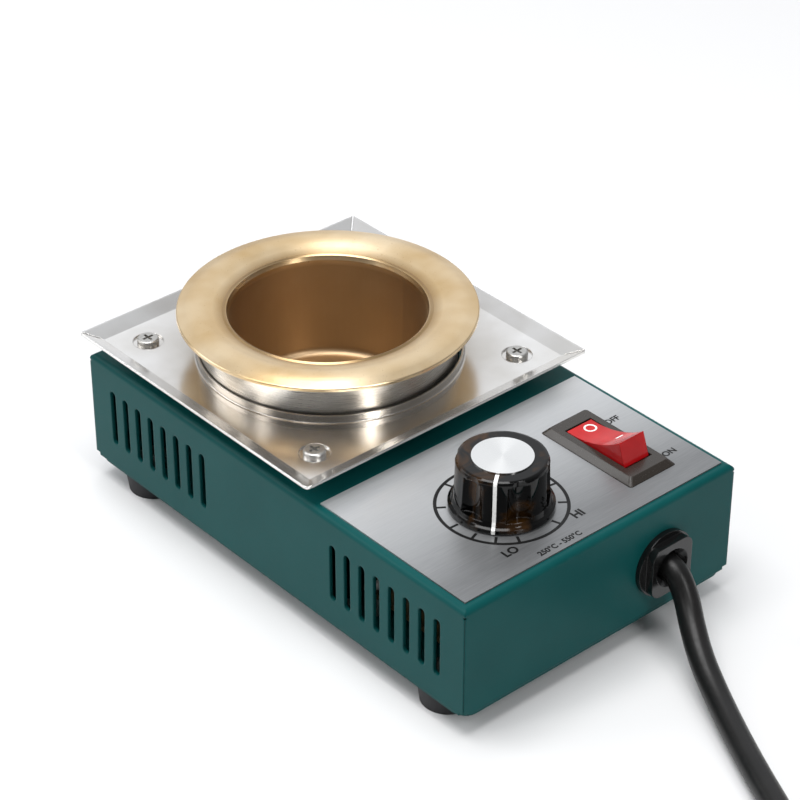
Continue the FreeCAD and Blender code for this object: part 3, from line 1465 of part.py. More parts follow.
BLOCK_WIRE = (
    ("board", -2.1, 11.5, 0.2),
    ("board", -2.1, 11.5, 4.2),
    ("board", 1.6, 14.2, 4.0),
    ("left pole", 0, -7.5, 5.0),
    ("left pole", 0, -3.6, 0),
    ("left pole", 0, 1.0, 0),
)
NEUTRAL_WIRE = (
    ("cord", -1.5, 9.9, -0.2),
    ("cord", -1.5, 12.4, -0.4),
    ("cord", -2.4, 18.5, -3.0),
    ("cord", 1.5, 26.0, -7.5),
    ("right pole", -4.0, -14.0, 3.0),
    ("right pole", -1.0, -6.0, 3.0),
    ("right pole", 0, -2.8, 0),
    ("right pole", 0, 1.0, 0),
)
EARTH_WIRE = (
    ("cord", 0, 9.9, -1.9),
    ("cord", 0, 12.0, -1.9),
    ("cord", 0.1, 14.7, -6.7),
    ("cord", 1.5, 17.5, -11.0),
    ("lug", -3.8, -6.5, 1.2),
    ("lug", 0, -4.7, 1.2),
    ("lug", 0, -1.9, 1.2),
)
LEFT_HEATER_WIRE = (
    ("heater", -2.6, -0.1, 0.75),
    ("heater", -1.35, -2.6, 0.5),
    ("heater", -1.3, -6.8, 0.4),
    ("heater", 1.4, -9.6, -1.5),
    ("heater", 9.4, -9.6, -6.5),
    ("left lead", -3.7, 4.6, 1.8),
    ("left lead", 0, 4.1, 0),
    ("left lead", 0, -1.0, 0),
)
RIGHT_HEATER_WIRE = (
    ("heater", 2.6, -0.1, 0.75),
    ("heater", 1.35, -2.6, 0.5),
    ("heater", 1.3, -6.2, 0.4),
    ("heater", 5.4, -6.2, -2.5),
    ("heater", 14.4, -4.2, -7.0),
    ("right lead", -4.5, 7.4, 1.5),
    ("right lead", 0, 5.8, 0),
    ("right lead", 0, -1.0, 0),
)


def wire(name, route):
    radius = size("wire_radius")
    points = []
    for place, *shifts in route:
        points.append([size(base) + radius * shift for base, shift in zip(PLACES[place], shifts)])
    return tube(name, points, radius)


def make_wires():
    """Cord to switch, switch to board, board and cord to terminal block, and block to heater."""
    circuit = (("switch_wire", SWITCH_WIRE), ("board_wire", BOARD_WIRE), ("block_wire", BLOCK_WIRE))
    group("circuit_wires", [wire(name, route) for name, route in circuit])
    keep(wire("neutral", NEUTRAL_WIRE), "neutral_wire")
    keep(wire("earth", EARTH_WIRE), "earth_wire")
    leads = (("left_heater_wire", LEFT_HEATER_WIRE), ("right_heater_wire", RIGHT_HEATER_WIRE))
    group("heater_wires", [wire(name, route) for name, route in leads])


def make_earth_lug():
    """A ring lug under one of the bottom screws' nuts, with the earth wire's barrel in front."""
    at = ("earth_x", "earth_y", "lower_edge")
    eye = rod("lug_eye", at, "lug_radius", "lug_sheet")
    barrel_at = ("earth_x", "earth_y - lug_radius - small_nut_radius / 4", "lower_edge")
    barrel = block("lug_barrel", barrel_at, "lug_radius", "lug_radius / 2", "lug_barrel_height")
    hole = rod("lug_hole", at, "small_hole", "lug_sheet")
    keep(cut("lug", fuse("lug_solid", eye, barrel), hole), "earth_lug")


# Cord entry


def make_gland():
    """The strain relief in the front wall: flange, squared head with a flared mouth, neck and wedge."""
    x, z = "gland_x", "gland_height"
    face = (x, "gland_face", z)
    flange_at = (x, "front_face - gland_flange", z)
    flange = rod("gland_disc", flange_at, "gland_flange_radius", "gland_flange", TO_BACK)
    head_at = (x, "gland_face + gland_head_depth / 2", z + " - gland_head_height / 2")
    head_box = block("gland_block", head_at, "gland_head_width", "gland_head_depth", "gland_head_height")
    head = round_part("gland_head", head_box, "gland_head_corner", straight_along(FreeCAD.Vector(0, 1, 0)))
    neck = rod("gland_neck", (x, "front_face", z), "gland_neck_radius", "gland_neck_length", TO_BACK)
    lip_at = (x, "front_face + housing_sheet + wedge_gap", z)
    lip_radius = "gland_neck_radius + gland_lip"
    lip = cone("gland_lip_ring", lip_at, lip_radius, "gland_neck_radius", "gland_flange", TO_BACK)
    whole = "gland_flange + gland_head_depth + gland_neck_length"
    bore = rod("gland_way", face, "gland_bore", whole, TO_BACK)
    mouth = cone("gland_mouth", face, "gland_mouth_radius", "gland_bore", "gland_head_depth", TO_BACK)
    middle = "front_face + gland_neck_length / 2"
    notch_width, notch_height = "wedge_width + 2 * wedge_gap", "gland_bore + wedge_depth + wedge_gap"
    notch = block("gland_notch", (x, middle, z), notch_width, "gland_neck_length", notch_height)
    solid = fuse("gland_solid", flange, head, neck, lip)
    keep(cut("gland", solid, bore, mouth, notch), "strain_relief_bushing")
    wedge_at = (x, middle, z + " + gland_bore")
    keep(block("wedge", wedge_at, "wedge_width", "gland_neck_length", "wedge_depth"), "strain_relief_wedge")


# Power cord, put-away coil and plug. The routes are chosen by hand: first along the cord as it
# leaves the housing, then from the coil to the plug. Their points are counted across and forwards
# from where the cord passes the front wall's face, and up from the rest face.

CORD_ROUTE = (
    (0, 9.7, 20.3),
    (0, 5.2, 20.2),
    (0, 0.2, 20.25),
    (0, -4.9, 20.0),
    (-0.7, -9.3, 15.4),
    (-3.8, -14.6, 10.8),
    (-7.9, -21.8, 7.2),
    (-12.3, -31.1, 4.6),
    (-17.8, -42.1, 3.4),
    (-23.9, -54.2, 3.25),
    (-30.2, -67.8, 3.2),
    (-39.9, -86.3, 3.2),
    (-52.3, -108.8, 3.2),
    (-64.4, -132.1, 3.2),
)
TAIL_ROUTE = (
    (17.5, -143.3, 9.6),
    (17.6, -136.8, 9.8),
    (17.9, -127.9, 11.2),
    (18.1, -119.3, 11.7),
)


def cord(name, route):
    entry_x, entry_y = size("gland_x"), size("front_face")
    return tube(name, [(entry_x + x, entry_y + y, z) for x, y, z in route], size("cord_diameter") / 2)


def make_cord():
    keep(cord("cord", CORD_ROUTE), "power_cord")
    foot = ("coil_x", "coil_y", "0")
    keep(ring("coil", foot, "coil_outside", "coil_inside", "coil_layers * cord_diameter"), "power_cord_coil")
    keep(cord("tail", TAIL_ROUTE), "power_cord_tail")


def make_plug():
    """A moulded plug with a tapered boot, two flat pins and a round earth pin."""
    x, z = "plug_x", "plug_axis"
    boot = cone("plug_boot", (x, "boot_start", z), "boot_small", "boot_large", "boot_length", TO_BACK)
    moulding_at = (x, "plug_back + plug_length / 2", z + " - plug_height / 2")
    moulding = block("plug_block", moulding_at, "plug_width", "plug_length", "plug_height")
    rounded = round_part("plug_moulding", moulding, "plug_corner", straight_along(UPWARD))
    keep(fuse("plug", boot, rounded), "plug_body")
    pins = []
    for side, sign in (("left", "-"), ("right", "+")):
        at = (
            "%s %s flat_pin_spacing / 2" % (x, sign),
            "plug_front + flat_pin_length / 2",
            z + " - flat_pin_drop - flat_pin_width / 2",
        )
        pins.append(block("flat_pin_" + side, at, "flat_pin_sheet", "flat_pin_length", "flat_pin_width"))
    round_at = (x, "plug_front", z + " + round_pin_rise")
    pins.append(rod("round_pin", round_at, "round_pin_radius", "round_pin_length", TO_BACK))
    group("plug_pins", pins)


# Everything, checked and written

make_housing()
make_base_plate()
make_feet()
make_bottom_fasteners()
make_drip_plate()
make_plate_fasteners()
make_crucible()
make_heater_can()
make_heater()
make_insulation()
make_pot_mount()
make_label()
make_knob()
make_control()
make_switch()
make_rocker()
make_board()
make_board_parts()
make_terminal_block()
make_wires()
make_earth_lug()
make_gland()
make_cord()
make_plug()
doc.recompute()

for thing in doc.Objects:
    if "Invalid" in thing.State or "Error" in thing.State:
        raise RuntimeError("%s failed: %s" % (thing.Name, thing.State))
for thing in NODES:
    if thing.Shape.isNull() or not thing.Shape.isValid() or not thing.Shape.Solids:
        raise RuntimeError(thing.Label + " has no valid solid")

os.makedirs("parts", exist_ok=True)
for thing in NODES:
    thing.Shape.exportStep("parts/%s.step" % thing.Label)
print(len(NODES), "parts written")
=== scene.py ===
"""Bench solder pot: camera, finishes, cord, dial print, rocker marks, floor and light."""
import math

import bpy
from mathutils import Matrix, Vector


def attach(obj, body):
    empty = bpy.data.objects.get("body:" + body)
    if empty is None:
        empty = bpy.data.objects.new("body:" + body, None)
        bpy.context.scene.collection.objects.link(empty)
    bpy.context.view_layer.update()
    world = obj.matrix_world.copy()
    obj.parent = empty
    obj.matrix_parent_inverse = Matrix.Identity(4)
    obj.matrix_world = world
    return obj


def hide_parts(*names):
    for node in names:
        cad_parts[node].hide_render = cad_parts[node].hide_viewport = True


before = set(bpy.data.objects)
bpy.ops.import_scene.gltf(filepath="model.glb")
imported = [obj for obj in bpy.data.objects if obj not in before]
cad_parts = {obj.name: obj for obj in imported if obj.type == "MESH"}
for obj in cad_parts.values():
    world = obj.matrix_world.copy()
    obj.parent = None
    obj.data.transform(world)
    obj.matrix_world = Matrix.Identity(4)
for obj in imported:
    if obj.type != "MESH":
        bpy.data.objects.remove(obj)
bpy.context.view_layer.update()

MM = 0.001

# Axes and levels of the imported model, and the cord's diameter, in millimetres
POT = (-0.8, 26.9)
KNOB = (-9.9, -47.2)
LABEL_TOP = 37.6
CORD = 6.4


def mm(*values):
    """A vector in metres from millimetres."""
    return Vector(value * MM for value in values)


def show(name, data):
    """A new object in the scene, made of this data."""
    made = bpy.data.objects.new(name, data)
    bpy.context.scene.collection.objects.link(made)
    return made


def aim(made, place, target):
    """Put a camera or a light in its place and point it at its target."""
    made.location = place
    made.rotation_euler = (Vector(target) - Vector(place)).to_track_quat("-Z", "Y").to_euler()


# Camera

CAMERA_PLACE = mm(-369.64, -422.74, 412.21)
CAMERA_TARGET = mm(16.87, 19.67, 21.86)

camera_data = bpy.data.cameras.new("camera")
camera_data.lens = 122.65
camera_data.sensor_width = 36.0
camera_data.clip_start = 0.01
camera = show("camera", camera_data)
aim(camera, CAMERA_PLACE, CAMERA_TARGET)
bpy.context.scene.camera = camera


# Finishes

NOISE_RANGE = (0.3, 0.7)  # where nearly all values of a noise lie
QUARTER_TURN = 0.25
MIX_FACTOR, MIX_FIRST, MIX_SECOND, MIX_COLOUR = 0, 6, 7, 2


class Finish:
    """A procedural material with one surface shader, built node by node."""

    def __init__(self, name, colour, rough, **values):
        self.material = bpy.data.materials.new(name)
        self.material.use_nodes = True
        self.tree = self.material.node_tree
        self.shader = self.tree.nodes["Principled BSDF"]
        self.set("Base Color", (*colour, 1.0))
        self.set("Roughness", rough)
        for key, value in values.items():
            self.set(key.replace("_", " "), value)
        self.place = self.node("ShaderNodeTexCoord").outputs["Object"]
        self.normal = None

    def feed(self, socket, value):
        """Link an input to another node's output, or give it a plain value."""
        if isinstance(value, bpy.types.NodeSocket):
            self.tree.links.new(value, socket)
        else:
            socket.default_value = value

    def set(self, name, value):
        self.feed(self.shader.inputs[name], value)

    def node(self, kind, values=None, **settings):
        made = self.tree.nodes.new(kind)
        for key, value in settings.items():
            setattr(made, key, value)
        for key, value in (values or {}).items():
            self.feed(made.inputs[key], value)
        return made

    def at(self, origin=(0, 0, 0), stretch=(1, 1, 1)):
        """Object coordinates about a point in millimetres, scaled along each axis."""
        back = tuple(-value * MM for value in origin)
        shift = self.node("ShaderNodeVectorMath", {0: self.place, 1: back}, operation="ADD")
        return self.node("ShaderNodeMapping", {"Vector": shift.outputs[0], "Scale": stretch}).outputs[0]

    def about(self, centre):
        """Angle in radians, radius and height in metres, about an upright axis."""
        split = self.node("ShaderNodeSeparateXYZ", {0: self.at((*centre, 0))})
        angle = self.math("ARCTAN2", split.outputs[1], split.outputs[0])
        flat = self.pair(split.outputs[0], split.outputs[1])
        radius = self.node("ShaderNodeVectorMath", {0: flat}, operation="LENGTH").outputs["Value"]
        return angle, radius, split.outputs[2]

    def pair(self, first, second=0.0):
        return self.node("ShaderNodeCombineXYZ", {0: first, 1: second}).outputs[0]

    def math(self, operation, first, second):
        return self.node("ShaderNodeMath", {0: first, 1: second}, operation=operation).outputs[0]

    def noise(self, vector, scale, detail=3.0, rough=0.5, distortion=0.0):
        values = {"Vector": vector, "Scale": scale, "Detail": detail, "Roughness": rough}
        return self.node("ShaderNodeTexNoise", {**values, "Distortion": distortion}).outputs["Fac"]

    def span(self, value, low, high, to_low=0.0, to_high=1.0):
        """The range from low to high laid out over another, and cut off at its ends."""
        values = {"Value": value, "From Min": low, "From Max": high, "To Min": to_low, "To Max": to_high}
        return self.node("ShaderNodeMapRange", values).outputs[0]

    def spread(self, noise, to_low=0.0, to_high=1.0):
        return self.span(noise, *NOISE_RANGE, to_low, to_high)

    def blend(self, factor, first, second):
        """A mix of two colours, each of them a tuple or another node's output."""
        mixed = self.node("ShaderNodeMix", {MIX_FACTOR: factor}, data_type="RGBA")
        for key, colour in ((MIX_FIRST, first), (MIX_SECOND, second)):
            self.feed(mixed.inputs[key], (*colour, 1.0) if isinstance(colour, tuple) else colour)
        return mixed.outputs[MIX_COLOUR]

    def vary_colour(self, noise, first, second, between=NOISE_RANGE):
        self.set("Base Color", self.blend(self.span(noise, *between), first, second))

    def vary_roughness(self, noise, low, high):
        self.set("Roughness", self.spread(noise, low, high))

    def soften(self, radius):
        """Edges catch the light as if rounded by this radius, in millimetres."""
        self.normal = self.node("ShaderNodeBevel", {"Radius": radius * MM}, samples=4).outputs[0]
        self.set("Normal", self.normal)

    def bump(self, height, strength, depth):
        """Relief from a texture, over any before it, with its depth in millimetres."""
        values = {"Height": height, "Strength": strength, "Distance": depth * MM}
        if self.normal is not None:
            values["Normal"] = self.normal
        self.normal = self.node("ShaderNodeBump", values).outputs[0]
        self.set("Normal", self.normal)

    def turned(self, anisotropy):
        """Stretch the highlights as tool marks round an upright axis do."""
        self.set("Anisotropic", anisotropy)
        self.set("Anisotropic Rotation", QUARTER_TURN)
        self.set("Tangent", self.node("ShaderNodeTangent", direction_type="RADIAL", axis="Z").outputs[0])

    def to(self, *nodes):
        """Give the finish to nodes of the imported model."""
        for name in nodes:
            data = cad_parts[name].data
            data.materials.clear()
            data.materials.append(self.material)


# Painted housing

paint = Finish("housing_paint", (0.003, 0.066, 0.065), 0.33, IOR=1.45, Specular_IOR_Level=0.12)
paint.soften(0.6)
speck = paint.noise(paint.place, 2600, detail=2.0)
paint.vary_colour(paint.noise(paint.place, 40), (0.002, 0.060, 0.060), (0.004, 0.072, 0.071))
paint.vary_roughness(speck, 0.3, 0.4)
paint.bump(speck, 0.10, depth=0.08)
paint.to("housing_shell", "base_plate")

# Brushed label with a painted reflection, darker towards its front edge and lighter towards its back,
# with places in metres

LABEL_FRONT, LABEL_MIDDLE = -0.063, -0.022

label = Finish("label_foil", (0.45, 0.46, 0.47), 0.36, Metallic=0.7)
grain = label.noise(label.at(stretch=(0.03, 1, 1)), 5200, detail=2.0)
# Painted reflection: the label's colour runs from dark at its front edge to light towards its middle
painted_label_reflection = label.node("ShaderNodeSeparateXYZ", {0: label.place}).outputs[1]
painted_label_reflection = label.span(painted_label_reflection, LABEL_FRONT, LABEL_MIDDLE)
darker = label.blend(painted_label_reflection, (0.19, 0.195, 0.20), (0.57, 0.58, 0.59))
lighter = label.blend(painted_label_reflection, (0.23, 0.235, 0.24), (0.61, 0.62, 0.63))
label.vary_colour(grain, darker, lighter)
label.vary_roughness(grain, 0.36, 0.42)
label.bump(grain, 0.03, depth=0.05)
label.to("control_label")

# Drip plate, with a painted reflection of the can and rim that darkens it near the can, with distances
# from its axis in metres

PAINTED_REFLECTION_END, PAINTED_REFLECTION_FULL, PAINTED_REFLECTION_WAVER = 0.052, 0.034, 0.003

sheet = Finish("drip_plate_steel", (0.66, 0.65, 0.64), 0.2, Metallic=1.0)
sheet.soften(0.4)
grain = sheet.noise(sheet.at(stretch=(1, 0.02, 1)), 4200)
cloud = sheet.noise(sheet.place, 55)
_, reach, _ = sheet.about(POT)
# Painted reflection: the plate turns brown and darker close to the can, fading out further from its
# axis, standing in for the can and rim mirrored in it
reach = sheet.math("ADD", reach, sheet.spread(cloud, -PAINTED_REFLECTION_WAVER, PAINTED_REFLECTION_WAVER))
painted_can_reflection = sheet.math("MULTIPLY", sheet.span(reach, PAINTED_REFLECTION_END, PAINTED_REFLECTION_FULL), 0.7)
tone = sheet.blend(sheet.spread(cloud), (0.80, 0.78, 0.75), (0.88, 0.87, 0.86))
sheet.set("Base Color", sheet.blend(painted_can_reflection, tone, (0.42, 0.38, 0.33)))
smeared = sheet.spread(cloud, 0.0, 0.04)
sheet.set("Roughness", sheet.math("ADD", sheet.spread(grain, 0.16, 0.21), smeared))
sheet.bump(grain, 0.03, depth=0.05)
sheet.to("drip_plate")

# Crucible, darker in its bore, with painted shade in the groove behind its lip, and with radii and
# levels in metres

BORE_EDGE, BORE_FULL = 0.0262, 0.0246
MOUTH_LEVEL, MOUTH_FULL = 0.0523, 0.0512
GROOVE_INSIDE, GROOVE_OUTSIDE = (0.0251, 0.0258), (0.0290, 0.0264)
POT_BRUSHED = 0.7

pot = Finish("crucible_metal", (0.72, 0.52, 0.26), 0.3, Metallic=1.0)
pot.turned(POT_BRUSHED)
_, reach, height = pot.about(POT)
rings = pot.noise(pot.pair(reach, height), 3800, detail=2.0)
grain = pot.noise(pot.place, 1500, detail=4.0, rough=0.7)
inside = pot.math(
    "MULTIPLY", pot.span(reach, BORE_EDGE, BORE_FULL), pot.span(height, MOUTH_LEVEL, MOUTH_FULL)
)
# Painted shade: a dark brown ring darkening the groove behind the lip
painted_groove_shade = pot.math("MULTIPLY", pot.span(reach, *GROOVE_INSIDE), pot.span(reach, *GROOVE_OUTSIDE))
tone = pot.blend(pot.spread(pot.noise(pot.place, 60)), (0.66, 0.46, 0.23), (0.86, 0.69, 0.46))
tone = pot.blend(pot.math("MULTIPLY", painted_groove_shade, 0.75), tone, (0.34, 0.21, 0.09))
pot.set("Base Color", pot.blend(inside, tone, (0.44, 0.31, 0.185)))
duller = pot.math("MULTIPLY", inside, 0.14)
pot.set("Roughness", pot.math("ADD", pot.spread(grain, 0.27, 0.31), duller))
pot.set("Anisotropic", pot.span(inside, 0.0, 1.0, POT_BRUSHED, 0.0))
pot.bump(grain, 0.012, depth=0.05)
pot.bump(rings, 0.08, depth=0.05)
pot.to("crucible")

# Heater can, with marks that run round it and change slowly on the way

CAN_DRIFT = 0.0003

can = Finish("can_steel", (0.62, 0.60, 0.57), 0.3, Metallic=1.0)
can.turned(0.85)
turn, _, height = can.about(POT)
rings = can.noise(can.pair(can.math("MULTIPLY", turn, CAN_DRIFT), height), 6000)
cloud = can.noise(can.place, 70)
can.vary_colour(cloud, (0.66, 0.64, 0.61), (0.52, 0.47, 0.40), between=(0.35, 0.7))
can.vary_roughness(rings, 0.24, 0.34)
can.bump(rings, 0.03, depth=0.05)
can.to("heater_can")

# Knob

phenolic = Finish("knob_plastic", (0.012, 0.007, 0.005), 0.05, IOR=1.5, Specular_IOR_Level=0.3)
phenolic.soften(0.4)
swirl = phenolic.noise(phenolic.place, 90, rough=0.6, distortion=0.8)
phenolic.vary_colour(swirl, (0.001, 0.001, 0.001), (0.06, 0.024, 0.003), between=(0.5, 0.75))
phenolic.bump(phenolic.noise(phenolic.place, 400, detail=2.0), 0.02, depth=0.05)
phenolic.to("knob_body")

cap = Finish("knob_aluminium", (0.84, 0.84, 0.83), 0.22, Metallic=1.0)
cap.turned(0.8)
_, reach, _ = cap.about(KNOB)
rings = cap.noise(cap.pair(reach), 5000, detail=2.0)
cap.vary_roughness(rings, 0.18, 0.28)
cap.bump(rings, 0.1, depth=0.04)
cap.to("knob_cap")

white = Finish("pointer_white", (0.85, 0.85, 0.83), 0.25)
white.vary_roughness(white.noise(white.place, 1800), 0.2, 0.35)
white.to("knob_pointer")

# Switch

dark = Finish("switch_brown_black", (0.026, 0.021, 0.017), 0.24, IOR=1.5)
dark.soften(0.3)
fine = dark.noise(dark.place, 3000, detail=2.0)
dark.vary_roughness(fine, 0.22, 0.28)
dark.bump(fine, 0.015, depth=0.05)
dark.to("switch_body")

red = Finish("rocker_red", (0.45, 0.01, 0.012), 0.12, IOR=1.5, Specular_IOR_Level=0.25)
red.soften(0.4)
cloud = red.noise(red.place, 180, detail=2.0)
red.vary_colour(cloud, (0.38, 0.006, 0.008), (0.50, 0.010, 0.011), between=(0.35, 0.7))
red.to("switch_rocker")

# Rubber, cord, gland and plug

rubber = Finish("foot_rubber", (0.018, 0.018, 0.02), 0.75)
rubber.bump(rubber.noise(rubber.place, 2200), 0.25, depth=0.1)
rubber.to("foot_front_left", "foot_front_right", "foot_back_left", "foot_back_right")

jacket = Finish("cord_jacket", (0.008, 0.007, 0.007), 0.34, IOR=1.5, Specular_IOR_Level=0.3)
skin = jacket.noise(jacket.place, 1400)
cloud = jacket.noise(jacket.place, 60, detail=2.0)
jacket.vary_colour(cloud, (0.005, 0.005, 0.005), (0.010, 0.009, 0.009))
jacket.vary_roughness(skin, 0.28, 0.42)
jacket.bump(skin, 0.10, depth=0.1)
jacket.to("power_cord", "power_cord_coil", "power_cord_tail")

nylon = Finish("gland_nylon", (0.006, 0.006, 0.006), 0.16, IOR=1.5)
nylon.soften(0.3)
fine = nylon.noise(nylon.place, 2600, detail=2.0)
nylon.vary_roughness(fine, 0.12, 0.2)
nylon.bump(fine, 0.02, depth=0.05)
nylon.to("strain_relief_bushing", "strain_relief_wedge")

moulded = Finish("plug_black", (0.014, 0.014, 0.015), 0.42, IOR=1.5)
moulded.soften(0.5)
fine = moulded.noise(moulded.place, 2000)
moulded.vary_roughness(fine, 0.36, 0.52)
moulded.bump(fine, 0.15, depth=0.1)
moulded.to("plug_body")

# Insulation of the earth wire, striped green and yellow

striped = Finish("earth_insulation", (0.15, 0.5, 0.08), 0.4)
bands = striped.node(
    "ShaderNodeTexWave",
    {"Vector": striped.place, "Scale": 90.0, "Distortion": 0.0},
    wave_type="BANDS",
    bands_direction="DIAGONAL",
).outputs["Fac"]
striped.vary_colour(bands, (0.10, 0.38, 0.06), (0.75, 0.68, 0.05), between=(0.45, 0.55))
striped.bump(striped.noise(striped.place, 1500), 0.08, depth=0.08)
striped.to("earth_wire")

# Print on the label and on the rocker

ink = Finish("dial_ink", (0.006, 0.006, 0.006), 0.5, Specular_IOR_Level=0.2)
fine = ink.noise(ink.place, 2500)
ink.vary_roughness(fine, 0.34, 0.5)
ink.bump(fine, 0.05, depth=0.03)

mark = Finish("rocker_mark", (0.86, 0.85, 0.83), 0.35)
fine = mark.noise(mark.place, 2500)
mark.vary_roughness(fine, 0.3, 0.45)
mark.bump(fine, 0.05, depth=0.03)


# Plainer finishes, each with its own grain


def grained(name, colour, other, rough, scale, strength, stretch=(1, 1, 1), metallic=0.0, **values):
    """A finish that wavers between two colours and a little in its roughness."""
    finish = Finish(name, colour, rough, Metallic=metallic, **values)
    grain = finish.noise(finish.at(stretch=stretch), scale)
    finish.vary_colour(grain, colour, other)
    finish.vary_roughness(grain, rough * 0.85, rough * 1.2)
    finish.bump(grain, strength, depth=0.08)
    return finish


grained("fastener_steel", (0.55, 0.54, 0.52), (0.44, 0.43, 0.41), 0.36, 1500, 0.08, metallic=1.0).to(
    "foot_screws", "foot_nuts", "bottom_screws", "bottom_nuts", "plate_screws", "plate_nuts",
    "plate_spacers", "crucible_stud", "stud_washer", "stud_nut", "heater_clamp_screw",
    "knob_set_screw", "control_nut", "control_washer", "switch_pivot",
)
grained("plated_sheet", (0.60, 0.61, 0.62), (0.50, 0.51, 0.53), 0.3, 700, 0.06, metallic=1.0).to(
    "support_bridge", "earth_lug"
)
grained("heater_mica", (0.44, 0.42, 0.38), (0.33, 0.30, 0.26), 0.45, 400, 0.1, metallic=0.9).to(
    "heater_band"
)
grained("wool", (0.86, 0.84, 0.77), (0.74, 0.71, 0.64), 0.95, 900, 0.6, stretch=(1, 1, 0.2)).to(
    "insulation_wrap", "insulation_base"
)
grained("brass_fittings", (0.78, 0.58, 0.28), (0.70, 0.50, 0.22), 0.28, 1600, 0.06, metallic=1.0).to(
    "knob_bushing", "switch_terminals", "switch_contact_blade", "terminal_screws"
)
grained("control_metal", (0.62, 0.62, 0.60), (0.54, 0.54, 0.52), 0.32, 1500, 0.06, metallic=1.0).to(
    "control_body", "control_shaft"
)
grained("lamp_glass", (0.95, 0.6, 0.4), (0.95, 0.5, 0.3), 0.06, 500, 0.02, Transmission_Weight=0.7).to(
    "neon_lamp"
)
# Dark brown laminate, darkened further as painted shade for the inside of the housing seen through the
# slots
grained("board_laminate", (0.14, 0.10, 0.04), (0.10, 0.07, 0.03), 0.5, 1200, 0.08).to("circuit_board")
grained("nylon", (0.84, 0.84, 0.80), (0.76, 0.76, 0.72), 0.4, 1500, 0.05).to("board_standoffs")
grained("epoxy", (0.03, 0.03, 0.033), (0.05, 0.05, 0.052), 0.5, 2200, 0.15).to("triac")
grained(
    "sink_aluminium", (0.70, 0.70, 0.71), (0.60, 0.60, 0.61), 0.3, 1500, 0.06,
    stretch=(1, 1, 0.05), metallic=1.0,
).to("heatsink")
grained("capacitor_yellow", (0.70, 0.52, 0.08), (0.62, 0.45, 0.06), 0.25, 1200, 0.04).to("capacitor")
grained("choke_green", (0.07, 0.20, 0.12), (0.10, 0.26, 0.16), 0.4, 1600, 0.2).to("choke")
grained("steatite", (0.86, 0.84, 0.78), (0.78, 0.76, 0.70), 0.5, 1800, 0.12).to("terminal_block")
grained("live_insulation", (0.22, 0.08, 0.03), (0.28, 0.11, 0.05), 0.4, 1500, 0.08).to("circuit_wires")
grained("neutral_insulation", (0.05, 0.13, 0.45), (0.07, 0.17, 0.52), 0.4, 1500, 0.08).to("neutral_wire")
grained("heater_sleeve", (0.82, 0.80, 0.72), (0.70, 0.67, 0.58), 0.9, 2500, 0.5).to("heater_wires")
grained(
    "plug_brass", (0.76, 0.60, 0.34), (0.68, 0.52, 0.28), 0.22, 1500, 0.06,
    stretch=(1, 0.1, 1), metallic=1.0,
).to("plug_pins")


# Cord, with its route in millimetres and its coil's angles in degrees

ROUTE = [
    (19.9, -62.0, 20.3),
    (19.9, -66.5, 20.2),
    (19.9, -71.5, 20.25),
    (19.9, -76.6, 20.0),
    (19.2, -81.0, 15.4),
    (16.1, -86.3, 10.8),
    (12.0, -93.5, 7.2),
    (7.6, -102.8, 4.6),
    (2.1, -113.8, 3.4),
    (-4.0, -125.9, 3.25),
    (-10.3, -139.5, 3.2),
    (-20.0, -158.0, 3.2),
    (-32.4, -180.5, 3.2),
]
TAIL = [(37.5, -217.5, 9.6), (37.5, -208.5, 9.8), (37.8, -199.6, 11.2), (38.0, -191.0, 11.7)]
COIL = (-6.0, -224.0)
COIL_START, COIL_END = 152.3, 2160.0
COIL_OUTSIDE, COIL_INSIDE = 43.4, 26.6
COIL_CLIMB = 90.0
STEP = 15.0


def part_of(value, whole):
    return min(max(value / whole, 0.0), 1.0)


def coil_points():
    """Two layers of flat turns, the lower wound inwards and the upper outwards."""
    sweep = COIL_END - COIL_START
    winding = (sweep - COIL_CLIMB) / 2
    pull = 0.75 + 0.25 * math.cos(math.radians(STEP))  # the spline runs this far inside its points
    count = round(sweep / STEP)
    points = []
    for number in range(count + 1):
        wound = sweep * number / count
        inward = min(part_of(wound, winding), part_of(sweep - wound, winding))
        risen = part_of(wound - winding, COIL_CLIMB)
        radius = (COIL_OUTSIDE - (COIL_OUTSIDE - COIL_INSIDE) * inward) / pull
        level = CORD / 2 + CORD * risen * risen * (3 - 2 * risen)
        angle = math.radians(COIL_START + wound)
        points.append((COIL[0] + radius * math.cos(angle), COIL[1] + radius * math.sin(angle), level))
    return points


cord_line = bpy.data.curves.new("power_lead", "CURVE")
cord_line.dimensions = "3D"
cord_line.bevel_depth = CORD / 2 * MM
cord_line.bevel_resolution = 6
cord_line.resolution_u = 10
cord_line.use_fill_caps = True
spline = cord_line.splines.new("NURBS")
route = ROUTE + coil_points() + TAIL
spline.points.add(len(route) - 1)
for point, where in zip(spline.points, route):
    point.co = (*mm(*where), 1.0)
spline.order_u = 3
spline.use_endpoint_u = True
power_lead = show("power_lead", cord_line)
cord_line.materials.append(jacket.material)
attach(power_lead, "pot")
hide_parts("power_cord", "power_cord_coil", "power_cord_tail")


# Dial and words printed on the label, in millimetres and degrees

